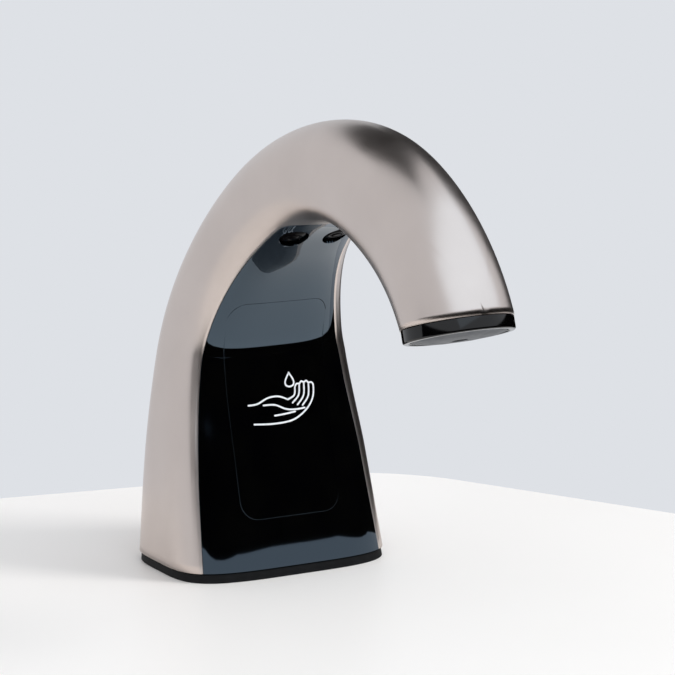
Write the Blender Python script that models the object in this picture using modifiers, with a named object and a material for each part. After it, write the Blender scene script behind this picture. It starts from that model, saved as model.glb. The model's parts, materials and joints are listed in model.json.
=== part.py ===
"""Automatic soap dispenser: an arched deck-mounted spout with its pump, drive, cells and sensor inside.

Metres, +Z up. The deck is the plane z = 0, the spout reaches towards -Y and X runs across it.
The origin is the middle of the foot on the deck. Every section of the spout hangs from one outer
line, which rises straight at the back and bends forward over three arcs, so a place inside is
given by its length along that line, its distance from it and its side place x.
"""

from math import copysign, cos, pi, radians, sin

import bmesh
import bpy
from mathutils import Matrix, Vector

# Outer line of the spout in the plane x = 0
BACK_LINE_Y = 0.025
BACK_RISE = 0.035
LEAN_RADIUS = 0.391
LEAN_TURN = radians(4.4)
CROWN_RADIUS = 0.0793
CROWN_TURN = radians(93.4)
NOSE_RADIUS = 0.0733
NOSE_TURN = radians(58.3)

# Sections of the spout: place as a share of the outer line, width across and depth from the line
STATION_SHARES = (0.0, 0.12, 0.28, 0.48, 0.66, 0.83, 1.0)
FOOT_WIDTH = 0.072
ANKLE_WIDTH = 0.0668
WAIST_WIDTH = 0.0556
NECK_WIDTH = 0.0415
CROWN_WIDTH = 0.0341
NOSE_WIDTH = 0.0308
TIP_WIDTH = 0.0321
FOOT_DEPTH = 0.0495
ANKLE_DEPTH = 0.0408
WAIST_DEPTH = 0.0321
NECK_DEPTH = 0.032
CROWN_DEPTH = 0.029
NOSE_DEPTH = 0.0312
TIP_DEPTH = 0.0284

# Superellipse powers of the back and front half of a section: high is boxy, two is an ellipse
POWER_SHARES = (0.0, 0.5, 1.0)
BACK_POWERS = (4.0, 2.05, 1.95)
FRONT_POWERS = (3.9, 3.2, 1.95)

# Walls and gaps
SHELL_WALL = 0.0022
COVER_WALL = 0.002
COVER_RECESS = 0.00025
SEAM = 0.0003
RUNNING = 0.0001
OVERRUN = 0.002
WELD = 0.000001

# Black front cover: the rim of metal beside it, the bare spout beyond it and how round its end is
RIM = 0.0055
BARE_SPOUT = 0.103
COVER_ROUND = 0.014

# Foot
GASKET_HEIGHT = 0.0026
GASKET_INSET = 0.0006
PLATE_HEIGHT = 0.0041
PLATE_INSET = 0.0004
BOSS_RADIUS = 0.0034
BOSS_HEIGHT = 0.0097
BOSS_RIB = 0.0024
SIDE_BOSS_SKIN_SET = 0.0047
SIDE_BOSS_HEAD_GAP = 0.0014
SIDE_BOSS_Y = -0.004
BACK_BOSS_SIDE_SET = 0.0053
BACK_BOSS_BACK_SET = 0.0083

# Screws: shank radius, head radius and head height
BASE_SCREW = (0.0015, 0.0028, 0.002)
BASE_SCREW_LENGTH = 0.009
TRAY_SCREW = (0.00125, 0.0023, 0.0016)
TRAY_SCREW_LENGTH = 0.008
PUMP_SCREW = (0.001, 0.0017, 0.0012)
BOARD_SCREW = (0.0009, 0.0017, 0.0012)
BOARD_SCREW_LENGTH = 0.0055
SCREW_CLEARANCE = 0.0003
HEAD_FLAT_SHARE = 0.8
HEAD_SIDE_SHARE = 0.7

# Deck studs, set in from the side bosses, and soap inlet
STUD_SIDE_SET = 0.0076
STUD_Y = -0.009
INSERT_RADIUS = 0.004
INSERT_BORE = 0.0021
INSERT_FLANGE_RADIUS = 0.0052
INSERT_FLANGE_HEIGHT = 0.0012
SPIGOT_RADIUS = 0.0032
SPIGOT_BORE = 0.0014
SPIGOT_NECK = 0.0019
SPIGOT_NECK_HEIGHT = 0.0016
SPIGOT_FLANGE_RADIUS = 0.0046
SPIGOT_FLANGE_HEIGHT = 0.0017
SPIGOT_RISE = 0.0006

# Gear pump on the base plate
PUMP_Y = 0.0154
PUMP_HALF_X = 0.0155
PUMP_HALF_Y = 0.007
PUMP_CORNER = 0.0022
PUMP_BODY_HEIGHT = 0.0075
PUMP_FLOOR = 0.002
PUMP_COVER_HEIGHT = 0.0032
PUMP_SCREW_X = 0.0136
PUMP_SCREW_Y = 0.0051
PUMP_SCREW_BITE = 0.0025
GEAR_TEETH = 9
GEAR_MODULE = 0.001
TOOTH_ADDENDUM = 0.0008
TOOTH_DEDENDUM = 0.0011
TOOTH_ROOT_WIDTH = 0.0016
TOOTH_PITCH_WIDTH = 0.0012
TOOTH_TIP_WIDTH = 0.0005
GEAR_TIP_CLEARANCE = 0.0003
GEAR_SIDE_CLEARANCE = 0.0003
PORT_RADIUS = 0.0014
PORT_OFFSET = 0.0045
CHANNEL_RADIUS = 0.001
OUTLET_X = 0.0082
OUTLET_Y = 0.0172
OUTLET_COLLAR_RADIUS = 0.0024
OUTLET_COLLAR_HEIGHT = 0.0022

# Geared motor, standing on the pump cover
MOTOR_WIDTH = 0.012
MOTOR_DEPTH = 0.01
GEARBOX_HEIGHT = 0.009
GEARBOX_CORNER = 0.0011
MOTOR_CAN_HEIGHT = 0.0155
MOTOR_CAN_CORNER = 0.004
MOTOR_PAD_HEIGHT = 0.0014
MOTOR_NECK_RADIUS = 0.002
MOTOR_NECK_HEIGHT = 0.0012
SHAFT_RADIUS = 0.0015
SHAFT_CHAMFER = 0.0003
SHAFT_ENGAGEMENT = 0.0036
SHAFT_FLOOR_DEPTH = 0.0014
IDLER_PIN_RADIUS = 0.00125

# Cells, their tray and its contacts
CELL_RADIUS = 0.00725
CELL_LENGTH = 0.0495
CELL_EDGE = 0.0007
NUB_RADIUS = 0.00275
NUB_HEIGHT = 0.001
CELL_GAP = 0.0004
CELL_Y = 0.00125
TRAY_WALL = 0.0012
TRAY_FLOOR = 0.0014
TRAY_FLOOR_Z = 0.0206
TRAY_FRONT_Y = -0.0052
TRAY_EAR = 0.0061
TRAY_EAR_Y = 0.002
TRAY_EAR_HEIGHT = 0.0016
POST_RADIUS = 0.003
CONTACT_THICKNESS = 0.0004
CONTACT_HALF = 0.0048
SPRING_HEIGHT = 0.0034
SPRING_WIRE_RADIUS = 0.0004
SPRING_FOOT_RADIUS = 0.0042
SPRING_HEAD_RADIUS = 0.0026
SPRING_TURNS = 2.5

# Battery door in the cover, and its skirt that plugs into the tray's mouth
DOOR_HALF_X = 0.0168
DOOR_LOW_Z = 0.017
DOOR_HIGH_Z = 0.081
DOOR_CORNER = 0.0055
DOOR_BLOCK_LENGTH = 0.106
SKIRT_INSET = 0.0009
SKIRT_WALL = 0.0012
SKIRT_GAP = 0.0004

# Sensor under the crown: two eyes side by side, each with its light-tight socket
SENSOR_SET = 0.019
EYE_SPACING = 0.014
LENS_RADIUS = 0.0043
LENS_HEIGHT = 0.0022
LENS_CROWN = 0.001
LENS_SHARES = ((0.6, 0.15), (0.88, 0.5), (1.0, 1.0))
CARRIER_HALF_X = 0.0104
CARRIER_HALF_LENGTH = 0.0055
CARRIER_DEPTH = 0.0038
CARRIER_HEIGHT = 0.0062
LED_RADIUS = 0.0025
LED_FLANGE_RADIUS = 0.0029
LED_FLANGE_HEIGHT = 0.001
LED_HEIGHT = 0.0052
LED_CLEARANCE = 0.0002
BOARD_HALF_X = 0.011
BOARD_HALF_LENGTH = 0.013
BOARD_THICKNESS = 0.0016
CHIP_SIZE = (0.007, 0.007, 0.0014)
CAPACITOR_X = 0.0071
CAPACITOR_RADIUS = 0.0025
CAPACITOR_HEIGHT = 0.0045
CONNECTOR_SIZE = (0.009, 0.004, 0.0035)

# Delivery tube
TUBE_RADIUS = 0.003
TUBE_BORE = 0.0019
TUBE_SOCKET_DEPTH = 0.006
TUBE_INSET = 0.0057
TUBE_STRAIGHT = 0.04
TUBE_CENTRED = 0.09
TUBE_DIVE_START = 0.17
TUBE_SETTLE = 0.0159
TUBE_POINTS = 20
BARB_RADIUS = 0.0017
BARB_TOOTH = 0.0002
BARB_BORE = 0.0009
BARB_LENGTH = 0.0055
BARB_SHARES = (0.35, 0.6, 0.65)

# Wires
WIRE_RADIUS = 0.0006
WIRE_POINTS = 9
WIRE_RISE = 0.01
WIRE_END_INSET = 0.0159
WIRE_TAIL = 0.006
MOTOR_TAB_SET = 0.0027
MOTOR_TAB_Y = 0.0035
MOTOR_LEAD_SPREAD = 0.0013
MOTOR_LEAD_INSET = 0.0072
BATTERY_TAB_SPREAD = 0.004
BATTERY_LEAD_SPREAD = 0.002
BATTERY_LEAD_INSET = 0.0099

# Nozzle at the end of the spout, and how far its face is turned from square to the spout
TIP_TILT = radians(6.0)
CAP_HEIGHT = 0.0036
CAP_EDGE_HEIGHT = 0.0007
CAP_EDGE_INSET = 0.0007
CAP_INSET = 0.00015
PLUG_DEPTH = 0.006
NOZZLE_RIM = 0.0022
NOZZLE_RECESS = 0.0022
NOZZLE_THICKNESS = 0.0018
NOZZLE_DOME_INSET = 0.0055
NOZZLE_DOME_HEIGHT = 0.0006
NOZZLE_CROWN_INSET = 0.0095
NOZZLE_CROWN_HEIGHT = 0.0009
INSERT_HOLE = 0.0026
VALVE_RADIUS = 0.0019
VALVE_LIP_RADIUS = 0.0012
VALVE_HEIGHT = 0.0022
VALVE_DROP = 0.0006

# Facets
SHELL_COLUMNS = 36
SHELL_ROWS = 22
COVER_COLUMNS = 10
COVER_ROWS = 14
ROUND_SIDES = 16
SMALL_SIDES = 8
CORNER_STEPS = 3
SPRING_STEPS = 8
SEAL_STEPS = 7
NOZZLE_COLUMNS = 24

# Worked-out places
OUTER_LENGTH = BACK_RISE + LEAN_RADIUS * LEAN_TURN + CROWN_RADIUS * CROWN_TURN + NOSE_RADIUS * NOSE_TURN
COVER_LENGTH = OUTER_LENGTH - BARE_SPOUT
SENSOR_LENGTH = COVER_LENGTH - SENSOR_SET
SHELL_FOOT_Z = GASKET_HEIGHT + SEAM
PLATE_TOP_Z = SHELL_FOOT_Z + PLATE_HEIGHT
BOSS_TOP_Z = PLATE_TOP_Z + BOSS_HEIGHT
PUMP_LOW_Z = PLATE_TOP_Z + SEAM
PUMP_TOP_Z = PUMP_LOW_Z + PUMP_BODY_HEIGHT
PUMP_COVER_Z = PUMP_TOP_Z + SEAM
PUMP_COVER_TOP_Z = PUMP_COVER_Z + PUMP_COVER_HEIGHT
MOTOR_Z = PUMP_COVER_TOP_Z + MOTOR_PAD_HEIGHT + SEAM
MOTOR_TOP_Z = MOTOR_Z + GEARBOX_HEIGHT + MOTOR_CAN_HEIGHT
PITCH_RADIUS = GEAR_TEETH * GEAR_MODULE / 2
GEAR_RADIUS = PITCH_RADIUS + TOOTH_ADDENDUM
DRIVE_X = -PITCH_RADIUS
IDLER_X = PITCH_RADIUS
INLET_Y = PUMP_Y - PORT_OFFSET
CELL_X = CELL_RADIUS + CELL_GAP / 2
CELL_ROOM_HALF_X = CELL_X + CELL_RADIUS + CELL_GAP
TRAY_HALF_X = CELL_ROOM_HALF_X + TRAY_WALL
TRAY_BACK_Y = CELL_Y + CELL_RADIUS + CELL_GAP + TRAY_WALL
CONTACT_LOW_Z = TRAY_FLOOR_Z + TRAY_FLOOR + SEAM
CELL_LOW_Z = CONTACT_LOW_Z + CONTACT_THICKNESS + SPRING_HEIGHT + 2 * SEAM
CELL_HIGH_Z = CELL_LOW_Z + CELL_LENGTH + NUB_HEIGHT
CONTACT_HIGH_Z = CELL_HIGH_Z + SEAM
TRAY_ROOM_HIGH_Z = CONTACT_HIGH_Z + CONTACT_THICKNESS + SEAM
TRAY_HIGH_Z = TRAY_ROOM_HIGH_Z + TRAY_WALL
EAR_X = TRAY_HALF_X + TRAY_EAR / 2
SKIRT_BACK_Y = TRAY_FRONT_Y - SKIRT_GAP

FINISHES = {
    "satin_nickel": ((0.50, 0.44, 0.42), 0.3, 1.0),
    "black_gloss": ((0.008, 0.008, 0.009), 0.06, 0.0),
    "smoked_lens": ((0.012, 0.008, 0.01), 0.03, 0.0),
    "grey_moulding": ((0.2, 0.22, 0.25), 0.35, 0.0),
    "black_moulding": ((0.02, 0.02, 0.022), 0.5, 0.0),
    "white_moulding": ((0.7, 0.7, 0.68), 0.45, 0.0),
    "rubber": ((0.015, 0.015, 0.015), 0.75, 0.0),
    "zinc": ((0.42, 0.43, 0.45), 0.45, 1.0),
    "brass": ((0.62, 0.45, 0.18), 0.3, 1.0),
    "steel": ((0.55, 0.55, 0.57), 0.3, 1.0),
    "clear_tube": ((0.75, 0.78, 0.8), 0.25, 0.0),
    "cell_jacket": ((0.05, 0.06, 0.08), 0.3, 0.0),
    "board_green": ((0.01, 0.12, 0.05), 0.4, 0.0),
    "wire_red": ((0.5, 0.02, 0.02), 0.45, 0.0),
}


# Scene and objects


def start_scene():
    for old in list(bpy.data.objects):
        bpy.data.objects.remove(old, do_unlink=True)
    groups = []
    for name in ("automatic_soap_dispenser", "cutters"):
        group = bpy.data.collections.new(name)
        bpy.context.scene.collection.children.link(group)
        groups.append(group)
    return groups


def finish_named(name):
    found = bpy.data.materials.get(name)
    if found:
        return found
    colour, roughness, metallic = FINISHES[name]
    made = bpy.data.materials.new(name)
    made.use_nodes = True
    shader = made.node_tree.nodes["Principled BSDF"]
    shader.inputs["Base Color"].default_value = (*colour, 1.0)
    shader.inputs["Roughness"].default_value = roughness
    shader.inputs["Metallic"].default_value = metallic
    return made


def add_object(name, bm, finish=None, turned_at=None):
    """A new object from bm: a part with its finish, or a cutter when it has none."""
    mesh = bpy.data.meshes.new(name)
    bm.to_mesh(mesh)
    bm.free()
    made = bpy.data.objects.new(name, mesh)
    if turned_at:
        made.location = turned_at
    if finish:
        PARTS.objects.link(made)
        mesh.materials.append(finish_named(finish))
        mesh.shade_smooth()
        mesh.set_sharp_from_angle(angle=radians(35))
    else:
        CUTTERS.objects.link(made)
        made.display_type = "WIRE"
        made.hide_render = True
    return made


def combine(target, tool, operation="DIFFERENCE"):
    change = target.modifiers.new(tool.name, "BOOLEAN")
    change.operation = operation
    change.solver = "EXACT"
    change.object = tool


# Shapes


def boxed(bm, low, high, place=Matrix()):
    """A box between two corners in the axes of place."""
    size = Vector(high) - Vector(low)
    middle = Matrix.Translation((Vector(high) + Vector(low)) / 2)
    return bmesh.ops.create_cube(bm, size=1.0, matrix=place @ middle @ Matrix.Diagonal((*size, 1.0)))["verts"]


def rounded_box(bm, low, high, corner, along=2):
    """A box whose four edges along one axis are rounded."""
    edges = []
    for edge in {link for vert in boxed(bm, low, high) for link in vert.link_edges}:
        run = edge.verts[1].co - edge.verts[0].co
        if abs(run[along]) > WELD:
            edges.append(edge)
    bmesh.ops.bevel(
        bm, geom=edges, offset=corner, segments=CORNER_STEPS, affect="EDGES", profile=0.5, material=-1
    )


def frame_to(start, direction, side=Vector((1.0, 0.0, 0.0))):
    """A matrix whose Z runs along direction from start, with X as near side as it can be."""
    z_axis = Vector(direction).normalized()
    x_axis = (side - z_axis * side.dot(z_axis)).normalized()
    y_axis = z_axis.cross(x_axis)
    turn = Matrix((x_axis, y_axis, z_axis)).transposed().to_4x4()
    return Matrix.Translation(start) @ turn


def round_bar(bm, place, radius, low, high, sides=ROUND_SIDES):
    """A cylinder on place's Z axis from low to high."""
    middle = place @ Matrix.Translation((0.0, 0.0, (low + high) / 2))
    bmesh.ops.create_cone(
        bm, cap_ends=True, segments=sides, radius1=radius, radius2=radius, depth=high - low, matrix=middle
    )


def turned(name, place, profile, finish=None, sides=ROUND_SIDES):
    """A turned solid from its profile of (radius, height) points, low end first, on place's Z axis."""
    bm = bmesh.new()
    points = [bm.verts.new((radius, 0.0, height)) for radius, height in reversed(profile)]
    for pair in zip(points, points[1:]):
        bm.edges.new(pair)
    if profile[0][0] > 0:
        bm.edges.new((points[-1], points[0]))
    made = add_object(name, bm, finish)
    made.matrix_world = place
    turn = made.modifiers.new("turn", "SCREW")
    turn.steps = sides
    turn.render_steps = sides
    turn.use_merge_vertices = True
    turn.merge_threshold = WELD
    return made


def upright(x, y, z=0.0):
    return Matrix.Translation((x, y, z))


def screw_profile(size, length):
    """A screw with its shank up from zero to length and its round head below it."""
    shank, head, head_height = size
    return [
        (0.0, -head_height), (head * HEAD_FLAT_SHARE, -head_height), (head, -head_height * HEAD_SIDE_SHARE),
        (head, 0.0), (shank, 0.0), (shank, length), (0.0, length),
    ]


def smooth_curve(name, points, radius, finish, steps=1):
    """A round bar along points as a curve, then as a mesh with welded ends."""
    data = bpy.data.curves.new(name, "CURVE")
    data.dimensions = "3D"
    data.bevel_depth = radius
    data.bevel_resolution = steps
    data.use_fill_caps = True
    spline = data.splines.new("POLY")
    spline.points.add(len(points) - 1)
    for target, point in zip(spline.points, points):
        target.co = (*point, 1.0)
    guide = bpy.data.objects.new(name + "_line", data)
    CUTTERS.objects.link(guide)
    bpy.context.view_layer.update()
    evaluated = guide.evaluated_get(bpy.context.evaluated_depsgraph_get())
    mesh = bpy.data.meshes.new_from_object(evaluated)
    bm = bmesh.new()
    bm.from_mesh(mesh)
    bmesh.ops.remove_doubles(bm, verts=bm.verts, dist=WELD)
    bmesh.ops.recalc_face_normals(bm, faces=bm.faces)
    bpy.data.objects.remove(guide, do_unlink=True)
    bpy.data.meshes.remove(mesh)
    return add_object(name, bm, finish)


# The spout's own surface


def outer_line(length):
    """Point (y, z) and heading from upright of the outer line, length above the deck."""
    heading = 0.0
    y = BACK_LINE_Y
    z = min(length, BACK_RISE)
    left = length - z
    for radius, turn in ((LEAN_RADIUS, LEAN_TURN), (CROWN_RADIUS, CROWN_TURN), (NOSE_RADIUS, NOSE_TURN)):
        step = max(0.0, min(left, radius * turn))
        centre_y = y - radius * cos(heading)
        centre_z = z - radius * sin(heading)
        heading += step / radius
        y = centre_y + radius * cos(heading)
        z = centre_z + radius * sin(heading)
        left -= step
    if left > 0:
        y -= left * sin(heading)
        z += left * cos(heading)
    return y, z, heading


def eased(share, shares, values):
    """A smooth value through the table that never overshoots it."""
    share = min(max(share, shares[0]), shares[-1])
    runs = [b - a for a, b in zip(shares, shares[1:])]
    slopes = [(b - a) / run for a, b, run in zip(values, values[1:], runs)]
    bends = [slopes[0]]
    for before, after, run_a, run_b in zip(slopes, slopes[1:], runs, runs[1:]):
        if before * after <= 0:
            bends.append(0.0)
        else:
            weight_a = 2 * run_b + run_a
            weight_b = run_b + 2 * run_a
            bends.append((weight_a + weight_b) / (weight_a / before + weight_b / after))
    bends.append(slopes[-1])
    row = max(i for i in range(len(runs)) if share >= shares[i])
    run = runs[row]
    t = (share - shares[row]) / run
    start = (1 + 2 * t) * (1 - t) ** 2 * values[row] + t * (1 - t) ** 2 * run * bends[row]
    end = t * t * (3 - 2 * t) * values[row + 1] + t * t * (t - 1) * run * bends[row + 1]
    return start + end


def section(length):
    """Width, depth, back power and front power of the spout at a length."""
    share = length / OUTER_LENGTH
    widths = (FOOT_WIDTH, ANKLE_WIDTH, WAIST_WIDTH, NECK_WIDTH, CROWN_WIDTH, NOSE_WIDTH, TIP_WIDTH)
    depths = (FOOT_DEPTH, ANKLE_DEPTH, WAIST_DEPTH, NECK_DEPTH, CROWN_DEPTH, NOSE_DEPTH, TIP_DEPTH)
    return (
        eased(share, STATION_SHARES, widths),
        eased(share, STATION_SHARES, depths),
        eased(share, POWER_SHARES, BACK_POWERS),
        eased(share, POWER_SHARES, FRONT_POWERS),
    )


def inside_point(length, x, inset):
    """The point inset from the outer line at a length, at the side place x."""
    y, z, heading = outer_line(length)
    return Vector((x, y - inset * cos(heading), z - inset * sin(heading)))


def forward(length):
    """The direction along the spout at a length."""
    heading = outer_line(length)[2]
    return Vector((0.0, -sin(heading), cos(heading)))


def inward(length):
    """The direction from the front skin into the spout at a length."""
    heading = outer_line(length)[2]
    return Vector((0.0, cos(heading), sin(heading)))


def skin_point(length, turn, inset=0.0):
    """The point of the skin at a length, turn round the section from +X over the back."""
    width, depth, back_power, front_power = section(length)
    across = cos(turn)
    along = sin(turn)
    power = back_power if along > 0 else front_power
    x = (width / 2 - inset) * copysign(abs(across) ** (2 / power), across)
    q = (depth / 2 - inset) * copysign(abs(along) ** (2 / power), along)
    return inside_point(length, x, depth / 2 - q)


def back_point(length, x, sunk=0.0):
    """The point of the back skin at a length and a side place, sunk into the spout."""
    width, depth, back_power, front_power = section(length)
    share = min(1.0, abs(2 * x / width))
    bulge = (1 - share ** back_power) ** (1 / back_power)
    return inside_point(length, x, depth / 2 - depth / 2 * bulge + sunk)


def front_point(length, x, sunk=0.0):
    """The point of the front skin at a length and a side place, sunk into the spout."""
    width, depth, back_power, front_power = section(length)
    share = min(1.0, abs(2 * x / width))
    bulge = (1 - share ** front_power) ** (1 / front_power)
    return inside_point(length, x, depth / 2 + depth / 2 * bulge - sunk)


def mapped_grid(columns, rows, place, closed=False):
    """A grid of faces whose point at the shares (u, v) is place(u, v)."""
    bm = bmesh.new()
    bmesh.ops.create_grid(bm, x_segments=columns, y_segments=rows, size=0.5)
    for vert in bm.verts:
        vert.co = place(vert.co.x + 0.5, vert.co.y + 0.5)
    if closed:
        bmesh.ops.remove_doubles(bm, verts=bm.verts, dist=WELD)
    return bm


def ring_stack(rows, columns=SHELL_COLUMNS):
    """A closed solid through section outlines, each given by its length and its inset."""
    bm = bmesh.new()
    rings = []
    for length, inset in rows:
        rings.append([bm.verts.new(skin_point(length, 2 * pi * i / columns, inset)) for i in range(columns)])
    for lower, upper in zip(rings, rings[1:]):
        for i in range(columns):
            j = (i + 1) % columns
            bm.faces.new((lower[i], lower[j], upper[j], upper[i]))
    bm.faces.new(reversed(rings[0]))
    bm.faces.new(rings[-1])
    return bm


def panel_grid(edge_gap, low, high, round_end, sunk, columns=COVER_COLUMNS, rows=COVER_ROWS):
    """The front skin between the two rims, up to its rounded end."""

    def place(u, v):
        swing = (u - 0.5) * pi
        end = high - round_end * (1 - cos(swing))
        length = low + (end - low) * v
        half = section(length)[0] / 2 - RIM - edge_gap
        return front_point(length, half * sin(swing), sunk)

    return mapped_grid(columns, rows, place)


def skinned(name, bm, thickness, offset, finish=None):
    """An object from an open surface whose faces look outwards, given its thickness."""
    made = add_object(name, bm, finish)
    wall = made.modifiers.new("wall", "SOLIDIFY")
    wall.thickness = thickness
    wall.offset = offset
    wall.use_even_offset = True
    return made


def face_out(bm, toward):
    """Turn an open surface so that its first face looks the way of toward."""
    bm.faces.ensure_lookup_table()
    bm.normal_update()
    if bm.faces[0].normal.dot(toward) < 0:
        bmesh.ops.reverse_faces(bm, faces=bm.faces)


# Housing


def side_boss_x():
    """As far out as the boss's top may stand in the wall, and its screw head inside the wall below."""
    at_top = section(BOSS_TOP_Z)[0] / 2 - SIDE_BOSS_SKIN_SET
    at_head = section(SHELL_FOOT_Z)[0] / 2 - SHELL_WALL - BASE_SCREW[1] - SIDE_BOSS_HEAD_GAP
    return min(at_top, at_head)


def back_boss_places():
    x = side_boss_x() - BACK_BOSS_SIDE_SET
    return [(side * x, BACK_LINE_Y - BACK_BOSS_BACK_SET) for side in (-1, 1)]


def side_boss_places():
    return [(side * side_boss_x(), SIDE_BOSS_Y) for side in (-1, 1)]


def boss_places():
    return back_boss_places() + side_boss_places()


def stud_places():
    x = side_boss_x() - STUD_SIDE_SET
    return [(side * x, STUD_Y) for side in (-1, 1)]


def boss_shapes():
    bm = bmesh.new()
    for x, y in boss_places():
        round_bar(bm, upright(x, y), BOSS_RADIUS, PLATE_TOP_Z + SEAM, BOSS_TOP_Z, SMALL_SIDES)
    return add_object("screw_bosses", bm)


def boss_ribs():
    """A rib from each screw boss into the middle of the wall beside it."""
    bm = bmesh.new()
    low = PLATE_TOP_Z + SEAM
    half = BOSS_RIB / 2
    for x, y in side_boss_places():
        end = copysign(section(BOSS_TOP_Z)[0] / 2 - SHELL_WALL / 2, x)
        boxed(bm, (min(x, end), y - half, low), (max(x, end), y + half, BOSS_TOP_Z))
    for x, y in back_boss_places():
        end = back_point(BOSS_TOP_Z, abs(x) + half, SHELL_WALL / 2).y
        boxed(bm, (x - half, y, low), (x + half, end, BOSS_TOP_Z))
    return add_object("boss_ribs", bm)


def make_spout_shell():
    def place(u, v):
        return skin_point((OUTER_LENGTH + OVERRUN) * v, 2 * pi * u)

    bm = mapped_grid(SHELL_COLUMNS, SHELL_ROWS, place, closed=True)
    bmesh.ops.recalc_face_normals(bm, faces=bm.faces)
    back = max(bm.faces, key=lambda face: face.calc_center_median().y)
    if back.normal.y < 0:
        bmesh.ops.reverse_faces(bm, faces=bm.faces)
    shell = skinned("spout_shell", bm, SHELL_WALL, -1.0, "satin_nickel")
    window = panel_grid(0.0, -OVERRUN, COVER_LENGTH, COVER_ROUND, SHELL_WALL / 2)
    face_out(window, Vector((0.0, -1.0, 0.0)))
    combine(shell, skinned("cover_window", window, 3 * SHELL_WALL + 2 * OVERRUN, 0.0))
    combine(shell, cut_below_foot("shell_foot_cut"))
    tip = bmesh.new()
    boxed(tip, (-FOOT_WIDTH, -FOOT_WIDTH, 0.0), (FOOT_WIDTH, FOOT_WIDTH, FOOT_WIDTH), nozzle_frame())
    combine(shell, add_object("shell_tip_cut", tip))
    bores = bmesh.new()
    for x, y in boss_places():
        bore = BASE_SCREW[0] + SCREW_CLEARANCE
        depth = SHELL_FOOT_Z + BASE_SCREW[2] + BASE_SCREW_LENGTH + 2 * SEAM
        round_bar(bores, upright(x, y), bore, PLATE_TOP_Z - OVERRUN, depth, SMALL_SIDES)
    combine(shell, boss_ribs(), "UNION")
    combine(shell, boss_shapes(), "UNION")
    combine(shell, add_object("screw_bores", bores))


def cut_below_foot(name):
    """A cutter that trims a wall level with the foot of the shell."""
    bm = bmesh.new()
    boxed(bm, (-FOOT_WIDTH, -FOOT_WIDTH, -FOOT_WIDTH), (FOOT_WIDTH, FOOT_WIDTH, SHELL_FOOT_Z))
    return add_object(name, bm)


def make_front_cover():
    sheet = panel_grid(SEAM, 0.0, COVER_LENGTH - SEAM, COVER_ROUND, COVER_RECESS)
    face_out(sheet, Vector((0.0, -1.0, 0.0)))
    cover = skinned("front_cover", sheet, COVER_WALL, -1.0, "black_gloss")
    combine(cover, cut_below_foot("cover_foot_cut"))
    hole = bmesh.new()
    rounded_box(
        hole,
        (-DOOR_HALF_X, -FOOT_DEPTH, DOOR_LOW_Z),
        (DOOR_HALF_X, TRAY_BACK_Y, DOOR_HIGH_Z),
        DOOR_CORNER,
        along=1,
    )
    combine(cover, add_object("door_hole", hole))
    eyes = bmesh.new()
    for place in eye_places():
        round_bar(eyes, place, LENS_RADIUS + SEAM, -OVERRUN, COVER_WALL + COVER_RECESS + OVERRUN)
    combine(cover, add_object("eye_holes", eyes))


def front_block(name, sunk, back_y, inset):
    """A solid from the sunk front skin back to an upright plane, a little beyond the door."""
    half = DOOR_HALF_X + OVERRUN

    def place(u, v):
        length = DOOR_LOW_Z - OVERRUN + (DOOR_BLOCK_LENGTH - DOOR_LOW_Z) * v
        return front_point(length, half * (2 * u - 1), sunk)

    bm = mapped_grid(COVER_COLUMNS, COVER_ROWS // 2, place)
    grown = bmesh.ops.extrude_face_region(bm, geom=bm.faces[:])["geom"]
    for vert in grown:
        if isinstance(vert, bmesh.types.BMVert):
            vert.co.y = back_y
    bmesh.ops.recalc_face_normals(bm, faces=bm.faces)
    block = add_object(name, bm, "black_gloss" if inset < SKIRT_INSET else None)
    outline = bmesh.new()
    rounded_box(
        outline,
        (inset - DOOR_HALF_X, -FOOT_DEPTH, DOOR_LOW_Z + inset),
        (DOOR_HALF_X - inset, TRAY_BACK_Y, DOOR_HIGH_Z - inset),
        DOOR_CORNER - inset,
        along=1,
    )
    combine(block, add_object(name + "_outline", outline), "INTERSECT")
    return block


def make_battery_door():
    door = front_block("battery_door", COVER_RECESS, SKIRT_BACK_Y, SEAM)
    hollow = front_block(
        "door_hollow", COVER_RECESS + COVER_WALL, SKIRT_BACK_Y + OVERRUN, SEAM + SKIRT_INSET + SKIRT_WALL
    )
    combine(door, hollow)


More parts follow.
